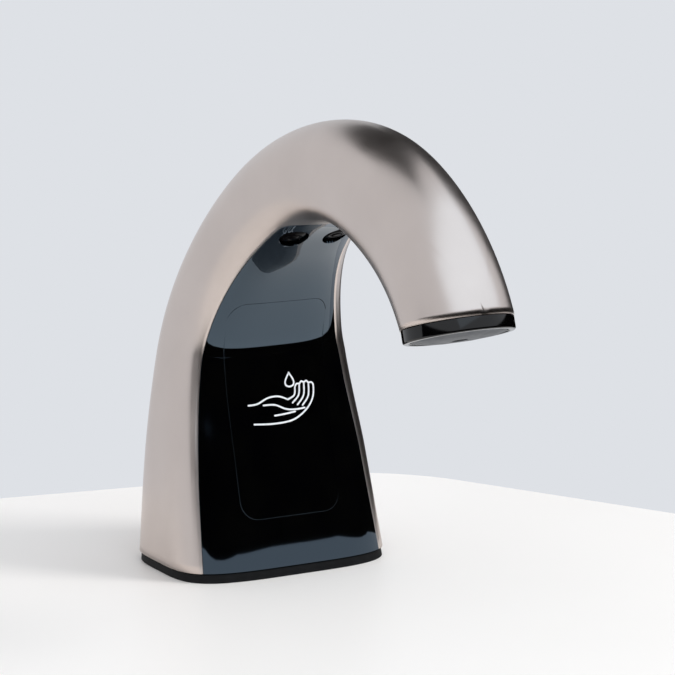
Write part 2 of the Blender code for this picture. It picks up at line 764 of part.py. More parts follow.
def make_foot():
    gasket_rows = [(0.0, GASKET_INSET), (GASKET_HEIGHT, GASKET_INSET)]
    gasket = add_object("base_gasket", ring_stack(gasket_rows), "rubber")
    inset = SHELL_WALL + PLATE_INSET
    plate_rows = [(SHELL_FOOT_Z, inset), ((SHELL_FOOT_Z + PLATE_TOP_Z) / 2, inset), (PLATE_TOP_Z, inset)]
    plate = add_object("base_plate", ring_stack(plate_rows), "zinc")

    posts = bmesh.new()
    for side in (-1, 1):
        place = upright(side * EAR_X, TRAY_EAR_Y)
        round_bar(posts, place, POST_RADIUS, SHELL_FOOT_Z + PLATE_HEIGHT / 2, TRAY_FLOOR_Z - SEAM)
    combine(plate, add_object("tray_posts", posts), "UNION")

    holes = bmesh.new()
    shank, head, head_height = BASE_SCREW
    for x, y in boss_places():
        round_bar(holes, upright(x, y), shank + SCREW_CLEARANCE, -OVERRUN, PLATE_TOP_Z + OVERRUN, SMALL_SIDES)
    combine(plate, add_object("plate_screw_holes", holes))
    sinks = bmesh.new()
    for x, y in boss_places():
        top = SHELL_FOOT_Z + head_height + 2 * SEAM
        round_bar(sinks, upright(x, y), head + SCREW_CLEARANCE, SHELL_FOOT_Z - OVERRUN, top, ROUND_SIDES)
    combine(plate, add_object("plate_screw_sinks", sinks))

    openings = bmesh.new()
    for x, y in stud_places():
        round_bar(openings, upright(x, y), INSERT_RADIUS + SEAM, -OVERRUN, PLATE_TOP_Z + OVERRUN)
    for side in (-1, 1):
        place = upright(side * EAR_X, TRAY_EAR_Y)
        bore = TRAY_SCREW[0] + SCREW_CLEARANCE
        low = TRAY_FLOOR_Z - TRAY_SCREW_LENGTH
        round_bar(openings, place, bore, low, TRAY_FLOOR_Z + OVERRUN, SMALL_SIDES)
    round_bar(openings, upright(0.0, INLET_Y), SPIGOT_RADIUS + SEAM, -OVERRUN, PLATE_TOP_Z + OVERRUN)
    for x, y in pump_screw_places():
        bore = PUMP_SCREW[0] + SCREW_CLEARANCE
        low = PLATE_TOP_Z - PUMP_SCREW_BITE - SEAM
        round_bar(openings, upright(x, y), bore, low, PLATE_TOP_Z + OVERRUN, SMALL_SIDES)
    combine(plate, add_object("plate_openings", openings))

    gasket_holes = bmesh.new()
    for x, y in stud_places():
        round_bar(gasket_holes, upright(x, y), INSERT_RADIUS + SEAM, -OVERRUN, SHELL_FOOT_Z)
    flange = SPIGOT_FLANGE_RADIUS + SEAM
    round_bar(gasket_holes, upright(0.0, INLET_Y), flange, -OVERRUN, SHELL_FOOT_Z)
    combine(gasket, add_object("gasket_holes", gasket_holes))

    for number, (x, y) in enumerate(boss_places(), 1):
        place = upright(x, y, SHELL_FOOT_Z + SEAM + head_height)
        profile = screw_profile(BASE_SCREW, BASE_SCREW_LENGTH)
        turned(f"base_screw_{number}", place, profile, "steel", SMALL_SIDES)

    flange_z = PLATE_TOP_Z + SEAM
    profile = [
        (INSERT_BORE, SHELL_FOOT_Z), (INSERT_RADIUS, SHELL_FOOT_Z), (INSERT_RADIUS, flange_z),
        (INSERT_FLANGE_RADIUS, flange_z), (INSERT_FLANGE_RADIUS, flange_z + INSERT_FLANGE_HEIGHT),
        (INSERT_BORE, flange_z + INSERT_FLANGE_HEIGHT),
    ]
    for name, (x, y) in zip(("stud_insert_left", "stud_insert_right"), stud_places()):
        turned(name, upright(x, y), profile, "brass")


def make_inlet():
    flange_top = SPIGOT_RISE + SPIGOT_FLANGE_HEIGHT
    neck_z = PLATE_TOP_Z - SPIGOT_NECK_HEIGHT
    profile = [
        (SPIGOT_BORE, SPIGOT_RISE), (SPIGOT_FLANGE_RADIUS, SPIGOT_RISE), (SPIGOT_FLANGE_RADIUS, flange_top),
        (SPIGOT_RADIUS, flange_top), (SPIGOT_RADIUS, neck_z), (SPIGOT_NECK, neck_z),
        (SPIGOT_NECK, PLATE_TOP_Z), (SPIGOT_BORE, PLATE_TOP_Z),
    ]
    turned("inlet_spigot", upright(0.0, INLET_Y), profile, "black_moulding")
    wire = (SPIGOT_RADIUS - SPIGOT_NECK) / 2 - RUNNING / 2
    middle = SPIGOT_NECK + RUNNING + wire
    height = neck_z + RUNNING + wire
    ring = []
    for step in range(SEAL_STEPS):
        angle = 2 * pi * step / SEAL_STEPS
        ring.append((middle + wire * cos(angle), height + wire * sin(angle)))
    turned("inlet_seal", upright(0.0, INLET_Y), ring, "rubber", SMALL_SIDES)


# Pump and drive


def pump_screw_places():
    places = []
    for side in (-1, 1):
        for end in (-1, 1):
            places.append((side * PUMP_SCREW_X, PUMP_Y + end * PUMP_SCREW_Y))
    return places


def make_pump():
    low = (-PUMP_HALF_X, PUMP_Y - PUMP_HALF_Y, PUMP_LOW_Z)
    high = (PUMP_HALF_X, PUMP_Y + PUMP_HALF_Y, PUMP_TOP_Z)
    bm = bmesh.new()
    rounded_box(bm, low, high, PUMP_CORNER)
    body = add_object("pump_body", bm, "black_moulding")
    pocket_floor = PUMP_LOW_Z + PUMP_FLOOR
    for name, x in (("drive_pocket", DRIVE_X), ("idler_pocket", IDLER_X)):
        pocket = bmesh.new()
        wall = GEAR_RADIUS + GEAR_TIP_CLEARANCE
        round_bar(pocket, upright(x, PUMP_Y), wall, pocket_floor, PUMP_TOP_Z + OVERRUN)
        combine(body, add_object(name, pocket))
    bores = bmesh.new()
    low = pocket_floor - SHAFT_FLOOR_DEPTH
    high = pocket_floor + OVERRUN
    round_bar(bores, upright(DRIVE_X, PUMP_Y), SHAFT_RADIUS + RUNNING, low, high)
    round_bar(bores, upright(IDLER_X, PUMP_Y), IDLER_PIN_RADIUS + RUNNING, low, high)
    below = PUMP_LOW_Z - OVERRUN
    above = PUMP_TOP_Z + OVERRUN
    for x, y in pump_screw_places():
        round_bar(bores, upright(x, y), PUMP_SCREW[0] + SCREW_CLEARANCE, below, above, SMALL_SIDES)
    combine(body, add_object("pump_bores", bores))
    ports = bmesh.new()
    round_bar(ports, upright(0.0, INLET_Y), PORT_RADIUS, below, high, SMALL_SIDES)
    round_bar(ports, upright(0.0, PUMP_Y + PORT_OFFSET), PORT_RADIUS, pocket_floor, above, SMALL_SIDES)
    combine(body, add_object("pump_ports", ports))

    bm = bmesh.new()
    rounded_box(
        bm,
        (-PUMP_HALF_X, PUMP_Y - PUMP_HALF_Y, PUMP_COVER_Z),
        (PUMP_HALF_X, PUMP_Y + PUMP_HALF_Y, PUMP_COVER_TOP_Z),
        PUMP_CORNER,
    )
    cover = add_object("pump_cover", bm, "black_moulding")
    pad = bmesh.new()
    rounded_box(
        pad,
        (DRIVE_X - MOTOR_WIDTH / 2, PUMP_Y - MOTOR_DEPTH / 2, PUMP_COVER_TOP_Z - PUMP_COVER_HEIGHT / 2),
        (DRIVE_X + MOTOR_WIDTH / 2, PUMP_Y + MOTOR_DEPTH / 2, PUMP_COVER_TOP_Z + MOTOR_PAD_HEIGHT),
        PUMP_CORNER,
    )
    combine(cover, add_object("motor_pad", pad), "UNION")
    barb_start = PUMP_COVER_TOP_Z + OUTLET_COLLAR_HEIGHT
    low = PUMP_COVER_TOP_Z - PUMP_COVER_HEIGHT / 2
    profile = [(0.0, low), (OUTLET_COLLAR_RADIUS, low), (OUTLET_COLLAR_RADIUS, barb_start)]
    profile += barb_points(barb_start, 1)
    combine(cover, turned("outlet_barb", upright(OUTLET_X, OUTLET_Y), profile), "UNION")
    channel = bmesh.new()
    start = Vector((0.0, PUMP_Y + PORT_OFFSET, PUMP_COVER_Z))
    end = Vector((OUTLET_X, OUTLET_Y, PUMP_COVER_Z))
    way = end - start
    round_bar(channel, frame_to(start, way), CHANNEL_RADIUS, 0.0, way.length, SMALL_SIDES)
    combine(cover, add_object("outlet_channel", channel))
    holes = bmesh.new()
    below = PUMP_COVER_Z - OVERRUN
    above = barb_start + BARB_LENGTH + OVERRUN
    round_bar(holes, upright(OUTLET_X, OUTLET_Y), BARB_BORE, below, above, SMALL_SIDES)
    round_bar(holes, upright(DRIVE_X, PUMP_Y), SHAFT_RADIUS + RUNNING, below, MOTOR_Z + OVERRUN)
    pin_top = PUMP_COVER_Z + SHAFT_FLOOR_DEPTH + SEAM
    round_bar(holes, upright(IDLER_X, PUMP_Y), IDLER_PIN_RADIUS + RUNNING, below, pin_top)
    for x, y in pump_screw_places():
        bore = PUMP_SCREW[0] + SCREW_CLEARANCE
        round_bar(holes, upright(x, y), bore, below, PUMP_COVER_TOP_Z + OVERRUN, SMALL_SIDES)
    combine(cover, add_object("pump_cover_holes", holes))

    for number, (x, y) in enumerate(pump_screw_places(), 1):
        head_down = upright(x, y, PUMP_COVER_TOP_Z + SEAM) @ Matrix.Rotation(pi, 4, "X")
        length = PUMP_COVER_TOP_Z + SEAM - PLATE_TOP_Z + PUMP_SCREW_BITE
        turned(f"pump_screw_{number}", head_down, screw_profile(PUMP_SCREW, length), "steel", SMALL_SIDES)


def barb_points(shoulder, sense):
    """Profile of a hose barb with two teeth, from its shoulder out along the sense of its axis."""
    slim = BARB_RADIUS - BARB_TOOTH
    end = shoulder + sense * BARB_LENGTH
    first, dip, second = [shoulder + sense * BARB_LENGTH * share for share in BARB_SHARES]
    teeth = [(slim, shoulder), (BARB_RADIUS, first), (slim, dip), (BARB_RADIUS, second)]
    return teeth + [(slim, end), (0.0, end)]


def gear_outline(phase):
    """Points round a gear: flank foot, pitch and tip of each tooth on both sides."""
    points = []
    flank = (
        (PITCH_RADIUS - TOOTH_DEDENDUM, TOOTH_ROOT_WIDTH),
        (PITCH_RADIUS, TOOTH_PITCH_WIDTH),
        (PITCH_RADIUS + TOOTH_ADDENDUM, TOOTH_TIP_WIDTH),
    )
    for tooth in range(GEAR_TEETH):
        middle = phase + 2 * pi * tooth / GEAR_TEETH
        for radius, width in flank:
            points.append((radius, middle - width / 2 / radius))
        for radius, width in reversed(flank):
            points.append((radius, middle + width / 2 / radius))
    return [Vector((radius * cos(angle), radius * sin(angle), 0.0)) for radius, angle in points]


def make_gear(name, x, phase, bore, finish):
    low = PUMP_LOW_Z + PUMP_FLOOR + GEAR_SIDE_CLEARANCE
    high = PUMP_COVER_Z - GEAR_SIDE_CLEARANCE
    bm = bmesh.new()
    face = bm.faces.new([bm.verts.new(point) for point in gear_outline(phase)])
    grown = bmesh.ops.extrude_face_region(bm, geom=[face])["geom"]
    lifted = [item for item in grown if isinstance(item, bmesh.types.BMVert)]
    bmesh.ops.translate(bm, verts=lifted, vec=(0.0, 0.0, high - low))
    bmesh.ops.recalc_face_normals(bm, faces=bm.faces)
    gear = add_object(name, bm, finish, turned_at=(x, PUMP_Y, low))
    hole = bmesh.new()
    round_bar(hole, upright(x, PUMP_Y), bore, low - OVERRUN, high + OVERRUN)
    combine(gear, add_object(name + "_bore", hole))


def make_drive():
    half_tooth = pi / GEAR_TEETH
    make_gear("drive_gear", DRIVE_X, 0.0, SHAFT_RADIUS + RUNNING, "white_moulding")
    make_gear("idler_gear", IDLER_X, pi + half_tooth, IDLER_PIN_RADIUS + RUNNING, "white_moulding")
    pocket_floor = PUMP_LOW_Z + PUMP_FLOOR
    low = pocket_floor - SHAFT_FLOOR_DEPTH + SEAM
    high = MOTOR_Z + SHAFT_ENGAGEMENT
    slim = SHAFT_RADIUS - SHAFT_CHAMFER
    profile = [
        (0.0, 0.0), (slim, 0.0), (SHAFT_RADIUS, SHAFT_CHAMFER),
        (SHAFT_RADIUS, high - low - SHAFT_CHAMFER), (slim, high - low), (0.0, high - low),
    ]
    turned("drive_shaft", upright(DRIVE_X, PUMP_Y, low), profile, "steel")
    top = PUMP_COVER_Z + SHAFT_FLOOR_DEPTH
    profile = [(0.0, low), (IDLER_PIN_RADIUS, low), (IDLER_PIN_RADIUS, top), (0.0, top)]
    turned("idler_pin", upright(IDLER_X, PUMP_Y), profile, "steel")

    bm = bmesh.new()
    rounded_box(
        bm,
        (DRIVE_X - MOTOR_WIDTH / 2, PUMP_Y - MOTOR_DEPTH / 2, MOTOR_Z),
        (DRIVE_X + MOTOR_WIDTH / 2, PUMP_Y + MOTOR_DEPTH / 2, MOTOR_Z + GEARBOX_HEIGHT),
        GEARBOX_CORNER,
    )
    motor = add_object("gear_motor", bm, "steel")
    can = bmesh.new()
    can_x = MOTOR_WIDTH / 2 - RUNNING
    can_y = MOTOR_DEPTH / 2 - RUNNING
    rounded_box(
        can,
        (DRIVE_X - can_x, PUMP_Y - can_y, MOTOR_Z + GEARBOX_HEIGHT / 2),
        (DRIVE_X + can_x, PUMP_Y + can_y, MOTOR_TOP_Z),
        MOTOR_CAN_CORNER,
    )
    combine(motor, add_object("motor_can", can), "UNION")
    neck = bmesh.new()
    round_bar(neck, upright(DRIVE_X, PUMP_Y), MOTOR_NECK_RADIUS, MOTOR_TOP_Z - MOTOR_CAN_HEIGHT / 2,
              MOTOR_TOP_Z + MOTOR_NECK_HEIGHT)
    combine(motor, add_object("motor_neck", neck), "UNION")
    hole = bmesh.new()
    round_bar(hole, upright(DRIVE_X, PUMP_Y), SHAFT_RADIUS + RUNNING, MOTOR_Z - OVERRUN, high + SEAM)
    combine(motor, add_object("motor_socket", hole))


# Power


def make_battery_tray():
    bm = bmesh.new()
    boxed(bm, (-TRAY_HALF_X, TRAY_FRONT_Y, TRAY_FLOOR_Z), (TRAY_HALF_X, TRAY_BACK_Y, TRAY_HIGH_Z))
    tray = add_object("battery_tray", bm, "black_moulding")
    ears = bmesh.new()
    for side in (-1, 1):
        near = side * (TRAY_HALF_X - TRAY_WALL / 2)
        far = side * (TRAY_HALF_X + TRAY_EAR)
        boxed(
            ears,
            (min(near, far), TRAY_EAR_Y - TRAY_EAR / 2, TRAY_FLOOR_Z),
            (max(near, far), TRAY_EAR_Y + TRAY_EAR / 2, TRAY_FLOOR_Z + TRAY_EAR_HEIGHT),
        )
    combine(tray, add_object("tray_ears", ears), "UNION")
    room = bmesh.new()
    boxed(
        room,
        (-CELL_ROOM_HALF_X, TRAY_FRONT_Y - OVERRUN, TRAY_FLOOR_Z + TRAY_FLOOR),
        (CELL_ROOM_HALF_X, TRAY_BACK_Y - TRAY_WALL, TRAY_ROOM_HIGH_Z),
    )
    combine(tray, add_object("tray_room", room))
    holes = bmesh.new()
    for side in (-1, 1):
        place = upright(side * EAR_X, TRAY_EAR_Y)
        low = TRAY_FLOOR_Z - OVERRUN
        round_bar(holes, place, TRAY_SCREW[0] + SCREW_CLEARANCE, low, TRAY_FLOOR_Z + 2 * OVERRUN, SMALL_SIDES)
    combine(tray, add_object("tray_screw_holes", holes))
    for name, side in (("tray_screw_left", -1), ("tray_screw_right", 1)):
        head_z = TRAY_FLOOR_Z + TRAY_EAR_HEIGHT + SEAM
        place = upright(side * EAR_X, TRAY_EAR_Y, head_z) @ Matrix.Rotation(pi, 4, "X")
        turned(name, place, screw_profile(TRAY_SCREW, TRAY_SCREW_LENGTH), "steel", SMALL_SIDES)


def make_cells():
    slim = CELL_RADIUS - CELL_EDGE
    top = CELL_LENGTH + NUB_HEIGHT
    profile = [
        (0.0, 0.0), (slim, 0.0), (CELL_RADIUS, CELL_EDGE), (CELL_RADIUS, CELL_LENGTH - CELL_EDGE),
        (slim, CELL_LENGTH), (NUB_RADIUS, CELL_LENGTH), (NUB_RADIUS, top), (0.0, top),
    ]
    for name, side in (("left", -1), ("right", 1)):
        x = side * CELL_X
        if side < 0:
            place = upright(x, CELL_Y, CELL_LOW_Z)
        else:
            flipped_top = CONTACT_LOW_Z + CONTACT_THICKNESS + SEAM + CELL_LENGTH + NUB_HEIGHT
            place = upright(x, CELL_Y, flipped_top) @ Matrix.Rotation(pi, 4, "X")
        turned(f"cell_{name}", place, profile, "cell_jacket")
        for level, plate_z in (("low", CONTACT_LOW_Z), ("high", CONTACT_HIGH_Z)):
            contact = bmesh.new()
            boxed(
                contact,
                (x - CONTACT_HALF, CELL_Y - CONTACT_HALF, plate_z),
                (x + CONTACT_HALF, CELL_Y + CONTACT_HALF, plate_z + CONTACT_THICKNESS),
            )
            add_object(f"contact_{level}_{name}", contact, "steel")
        smooth_curve(f"contact_spring_{name}", spring_points(x, side), SPRING_WIRE_RADIUS, "steel")


def spring_points(x, side):
    """The line of a conical contact spring: on the floor at the left, under the lid at the right."""
    rise = SPRING_HEIGHT - 2 * SPRING_WIRE_RADIUS
    if side < 0:
        foot = CONTACT_LOW_Z + CONTACT_THICKNESS + SEAM + SPRING_WIRE_RADIUS
        sense = 1
    else:
        foot = CONTACT_HIGH_Z - SEAM - SPRING_WIRE_RADIUS
        sense = -1
    count = round(SPRING_TURNS * SPRING_STEPS)
    points = []
    for step in range(count + 1):
        share = step / count
        angle = 2 * pi * SPRING_TURNS * share
        radius = SPRING_FOOT_RADIUS + (SPRING_HEAD_RADIUS - SPRING_FOOT_RADIUS) * share
        points.append((x + radius * cos(angle), CELL_Y + radius * sin(angle), foot + sense * rise * share))
    return points


# Sensor


def eye_places():
    """Frames at the two eyes, on the cover's face with Z running into the spout."""
    places = []
    for side in (-1, 1):
        start = front_point(SENSOR_LENGTH, side * EYE_SPACING / 2, COVER_RECESS)
        places.append(frame_to(start, inward(SENSOR_LENGTH)))
    return places


def sensor_frame():
    start = front_point(SENSOR_LENGTH, 0.0)
    return frame_to(start, inward(SENSOR_LENGTH))


def make_sensor():
    profile = [(0.0, 0.0)]
    for radius_share, height_share in LENS_SHARES:
        profile.append((LENS_RADIUS * radius_share, LENS_CROWN * height_share))
    profile += [(LENS_RADIUS, LENS_HEIGHT), (0.0, LENS_HEIGHT)]
    for name, place in zip(("lens_left", "lens_right"), eye_places()):
        turned(name, place, profile, "smoked_lens")

    frame = sensor_frame()
    bm = bmesh.new()
    boxed(
        bm,
        (-CARRIER_HALF_X, -CARRIER_HALF_LENGTH, CARRIER_DEPTH),
        (CARRIER_HALF_X, CARRIER_HALF_LENGTH, CARRIER_DEPTH + CARRIER_HEIGHT),
        frame,
    )
    carrier = add_object("sensor_carrier", bm, "black_moulding")
    sockets = bmesh.new()
    led_top = CARRIER_DEPTH + CARRIER_HEIGHT
    for side in (-1, 1):
        place = frame @ Matrix.Translation((side * EYE_SPACING / 2, 0.0, 0.0))
        wall = LED_FLANGE_RADIUS + LED_CLEARANCE
        round_bar(sockets, place, wall, CARRIER_DEPTH - OVERRUN, led_top + OVERRUN)
    combine(carrier, add_object("led_sockets", sockets))
    threads = bmesh.new()
    bore = BOARD_SCREW[0] + SCREW_CLEARANCE
    round_bar(threads, frame, bore, led_top - BOARD_SCREW_LENGTH, led_top + OVERRUN, SMALL_SIDES)
    combine(carrier, add_object("carrier_thread", threads))

    dome = LED_RADIUS
    for name, side in (("ir_emitter", -1), ("ir_receiver", 1)):
        at_socket = Matrix.Translation((side * EYE_SPACING / 2, 0.0, led_top))
        place = frame @ at_socket @ Matrix.Rotation(pi, 4, "X")
        profile = [
            (0.0, 0.0), (LED_FLANGE_RADIUS, 0.0), (LED_FLANGE_RADIUS, LED_FLANGE_HEIGHT),
            (LED_RADIUS, LED_FLANGE_HEIGHT), (LED_RADIUS, LED_HEIGHT - dome),
        ]
        for step in range(1, CORNER_STEPS):
            angle = pi / 2 * step / CORNER_STEPS
            profile.append((dome * cos(angle), LED_HEIGHT - dome + dome * sin(angle)))
        profile.append((0.0, LED_HEIGHT))
        turned(name, place, profile, "smoked_lens" if side > 0 else "clear_tube", SMALL_SIDES)

    board_low = led_top + SEAM
    board_high = board_low + BOARD_THICKNESS
    bm = bmesh.new()
    board_corner = (BOARD_HALF_X, BOARD_HALF_LENGTH, board_high)
    boxed(bm, (-BOARD_HALF_X, -BOARD_HALF_LENGTH, board_low), board_corner, frame)
    board = add_object("control_board", bm, "board_green")
    drill = bmesh.new()
    round_bar(drill, frame, bore, board_low - OVERRUN, board_high + OVERRUN, SMALL_SIDES)
    combine(board, add_object("board_drill", drill))
    head_at = frame @ Matrix.Translation((0.0, 0.0, board_high + SEAM)) @ Matrix.Rotation(pi, 4, "X")
    turned("board_screw", head_at, screw_profile(BOARD_SCREW, BOARD_SCREW_LENGTH), "steel", SMALL_SIDES)

    face = board_high + SEAM
    quarter = BOARD_HALF_LENGTH / 2
    blocks = (("board_chip", CHIP_SIZE, -quarter), ("board_connector", CONNECTOR_SIZE, quarter))
    for name, size, middle in blocks:
        wide, long, tall = size
        bm = bmesh.new()
        boxed(bm, (-wide / 2, middle - long / 2, face), (wide / 2, middle + long / 2, face + tall), frame)
        add_object(name, bm, "black_moulding")
    place = frame @ Matrix.Translation((CAPACITOR_X, 0.0, face))
    bm = bmesh.new()
    round_bar(bm, place, CAPACITOR_RADIUS, 0.0, CAPACITOR_HEIGHT, SMALL_SIDES)
    add_object("board_capacitor", bm, "black_moulding")


# Soap path


def square_frame():
    """A frame square to the spout at the middle of its end, with Z running out of it."""
    start = inside_point(OUTER_LENGTH, 0.0, section(OUTER_LENGTH)[1] / 2)
    return frame_to(start, forward(OUTER_LENGTH))


def nozzle_frame():
    """The frame of the nozzle's face, which is turned a little from square."""
    return square_frame() @ Matrix.Rotation(TIP_TILT, 4, "X")


def nozzle_stack(rows, columns=SHELL_COLUMNS):
    """A solid through section outlines, with all but those inside the spout turned to the nozzle's face."""
    bm = ring_stack(rows, columns)
    square = square_frame().inverted()
    turn = nozzle_frame() @ square
    outside = [vert for vert in bm.verts if (square @ vert.co).z > 0]
    bmesh.ops.transform(bm, matrix=turn, verts=outside)
    return bm


def blend(value, low, high):
    t = min(max((value - low) / (high - low), 0.0), 1.0)
    return t * t * (3 - 2 * t)


def tube_line():
    """Points from the pump's barb up the back, over the crown and down to the nozzle's barb."""
    barb = PUMP_COVER_TOP_Z + OUTLET_COLLAR_HEIGHT + SEAM
    points = [Vector((OUTLET_X, OUTLET_Y, z)) for z in (barb, barb + TUBE_SOCKET_DEPTH + SEAM)]
    frame = nozzle_frame()
    end = frame @ Vector((0.0, 0.0, barb_shoulder() - SEAM))
    before = frame @ Vector((0.0, 0.0, barb_shoulder() - TUBE_SOCKET_DEPTH - 2 * SEAM))
    last = OUTER_LENGTH + barb_shoulder() - TUBE_SOCKET_DEPTH - TUBE_SETTLE
    for step in range(TUBE_POINTS):
        length = TUBE_STRAIGHT + (last - TUBE_STRAIGHT) * step / (TUBE_POINTS - 1)
        x = OUTLET_X * (1 - blend(length, TUBE_STRAIGHT, TUBE_CENTRED))
        depth = section(length)[1] / 2
        inset = TUBE_INSET + (depth - TUBE_INSET) * blend(length, TUBE_DIVE_START, last)
        points.append(inside_point(length, x, inset))
    points += [before, end]
    return points


def barb_shoulder():
    """Height in the nozzle's frame of the shoulder that the tube's end meets."""
    return SEAM - PLUG_DEPTH + SEAM


def make_delivery_tube():
    points = tube_line()
    tube = smooth_curve("delivery_tube", points, TUBE_RADIUS, "clear_tube", steps=2)
    bores = bmesh.new()
    start = points[0]
    round_bar(bores, upright(start.x, start.y, start.z), TUBE_BORE, -OVERRUN, TUBE_SOCKET_DEPTH, SMALL_SIDES)
    shoulder = nozzle_frame() @ Matrix.Translation((0.0, 0.0, barb_shoulder() - SEAM))
    round_bar(bores, shoulder, TUBE_BORE, -TUBE_SOCKET_DEPTH, OVERRUN, SMALL_SIDES)
    combine(tube, add_object("tube_bores", bores))


def make_nozzle():
    end = OUTER_LENGTH + SEAM
    plug_inset = SHELL_WALL + 2 * SEAM
    rows = [
        (OUTER_LENGTH - PLUG_DEPTH, plug_inset),
        (end, plug_inset),
        (end, CAP_INSET),
        (end + CAP_HEIGHT - CAP_EDGE_HEIGHT, CAP_INSET),
        (end + CAP_HEIGHT, CAP_EDGE_INSET),
    ]
    cap = add_object("nozzle_cap", nozzle_stack(rows), "black_gloss")
    floor = end + CAP_HEIGHT - NOZZLE_RECESS
    recess = nozzle_stack([(floor, NOZZLE_RIM), (end + CAP_HEIGHT + OVERRUN, NOZZLE_RIM)])
    combine(cap, add_object("plate_recess", recess))
    frame = nozzle_frame()
    bore = bmesh.new()
    round_bar(bore, frame, INSERT_HOLE + SEAM, -PLUG_DEPTH - OVERRUN, CAP_HEIGHT + OVERRUN)
    combine(cap, add_object("cap_bore", bore))

    low = floor + SEAM
    inset = NOZZLE_RIM + SEAM
    rows = [
        (low, inset),
        (low + NOZZLE_THICKNESS, inset),
        (low + NOZZLE_THICKNESS + NOZZLE_DOME_HEIGHT, NOZZLE_DOME_INSET),
        (low + NOZZLE_THICKNESS + NOZZLE_CROWN_HEIGHT, NOZZLE_CROWN_INSET),
    ]
    plate = add_object("nozzle_plate", nozzle_stack(rows, NOZZLE_COLUMNS), "grey_moulding")
    hole = bmesh.new()
    plate_low = low - OUTER_LENGTH
    round_bar(hole, frame, VALVE_RADIUS + SEAM, plate_low - OVERRUN, plate_low + NOZZLE_THICKNESS + OVERRUN)
    combine(plate, add_object("valve_hole", hole))

    shoulder = barb_shoulder()
    insert_top = plate_low - SEAM
    profile = barb_points(shoulder, -1)[::-1]
    profile += [(INSERT_HOLE, shoulder), (INSERT_HOLE, insert_top), (0.0, insert_top)]
    nozzle = turned("nozzle_insert", frame, profile, "white_moulding")
    bore = bmesh.new()
    round_bar(bore, frame, BARB_BORE, shoulder - BARB_LENGTH - OVERRUN, insert_top + OVERRUN, SMALL_SIDES)
    combine(nozzle, add_object("insert_bore", bore))

    low = insert_top + SEAM
    profile = [
        (0.0, low), (VALVE_RADIUS, low), (VALVE_RADIUS, low + VALVE_HEIGHT),
        (VALVE_LIP_RADIUS, low + VALVE_HEIGHT + VALVE_DROP), (0.0, low + VALVE_HEIGHT + VALVE_DROP),
    ]
    turned("outlet_valve", frame, profile, "rubber", SMALL_SIDES)


def wire_line(start, end, first, last, inset):
    """A wire from start up the inside of the back, sinking towards the board's edge at end."""
    points = [start]
    for step in range(WIRE_POINTS):
        share = step / (WIRE_POINTS - 1)
        length = first + (last - first) * share
        x = start.x + (end.x - start.x) * blend(share, 0.0, 1.0)
        points.append(inside_point(length, x, inset + (WIRE_END_INSET - inset) * blend(share, 0.5, 1.0)))
    points.append(end)
    return points


def make_wires():
    frame = sensor_frame()
    board_middle = CARRIER_DEPTH + CARRIER_HEIGHT + SEAM + BOARD_THICKNESS / 2
    motor_tabs = Vector((DRIVE_X - MOTOR_TAB_SET, PUMP_Y + MOTOR_TAB_Y, MOTOR_TOP_Z + SEAM))
    battery_tabs = Vector((CELL_X, CELL_Y + CELL_RADIUS / 2, TRAY_HIGH_Z + SEAM))
    for name, tabs, tab_spread, inset, board_side, spread in (
        ("motor_lead", motor_tabs, MOTOR_LEAD_SPREAD, MOTOR_LEAD_INSET, -1, MOTOR_LEAD_SPREAD),
        ("battery_lead", battery_tabs, BATTERY_TAB_SPREAD, BATTERY_LEAD_INSET, 1, BATTERY_LEAD_SPREAD),
    ):
        for number, side in ((1, -1), (2, 1)):
            start = tabs + Vector((side * tab_spread, 0.0, 0.0))
            end_x = board_side * BOARD_HALF_X / 2 + side * spread
            end = frame @ Vector((end_x, BOARD_HALF_LENGTH + 2 * SEAM, board_middle))
            last = SENSOR_LENGTH - BOARD_HALF_LENGTH - WIRE_TAIL
            line = wire_line(start, end, start.z + WIRE_RISE, last, inset)
            smooth_curve(f"{name}_{number}", line, WIRE_RADIUS, "wire_red")


PARTS, CUTTERS = start_scene()
make_foot()
make_inlet()
make_spout_shell()
make_front_cover()
make_battery_door()
make_battery_tray()
make_cells()
make_pump()
make_drive()
make_sensor()
make_nozzle()
make_delivery_tube()
make_wires()
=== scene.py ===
"""Looks of the automatic soap dispenser: skins, print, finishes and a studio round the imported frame.

Metres, +Z up, in the frame's own axes. The skins follow the same outer line and sections as the
solids, drawn in a little so that they stay inside them. Plain inner parts are the solids with their
edges rounded. The studio's angles are in degrees.
"""

import json
from math import acos, copysign, cos, pi, radians, sin

import bmesh
import bpy
from mathutils import Matrix, Vector


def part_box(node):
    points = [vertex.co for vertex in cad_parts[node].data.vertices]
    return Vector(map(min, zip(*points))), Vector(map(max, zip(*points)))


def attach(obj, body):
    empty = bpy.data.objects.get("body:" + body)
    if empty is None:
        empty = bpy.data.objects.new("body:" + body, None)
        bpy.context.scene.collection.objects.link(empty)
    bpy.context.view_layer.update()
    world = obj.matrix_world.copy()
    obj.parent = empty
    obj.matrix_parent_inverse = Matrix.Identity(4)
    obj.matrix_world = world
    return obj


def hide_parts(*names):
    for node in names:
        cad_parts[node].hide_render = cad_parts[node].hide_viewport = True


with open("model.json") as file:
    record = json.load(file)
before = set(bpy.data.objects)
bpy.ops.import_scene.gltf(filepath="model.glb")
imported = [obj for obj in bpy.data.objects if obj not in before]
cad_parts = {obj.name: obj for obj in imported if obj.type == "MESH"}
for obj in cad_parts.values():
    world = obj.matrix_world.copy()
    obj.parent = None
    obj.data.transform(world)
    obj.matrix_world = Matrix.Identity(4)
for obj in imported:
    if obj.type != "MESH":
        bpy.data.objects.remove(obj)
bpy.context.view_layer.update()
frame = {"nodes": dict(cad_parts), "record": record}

scene = bpy.context.scene
record = frame["record"]
SLOTS = {row["node"]: row["material_slot"] for row in record["subparts"]}
BODIES = {node: body for body, nodes in record["behaviour"]["bodies"].items() for node in nodes}

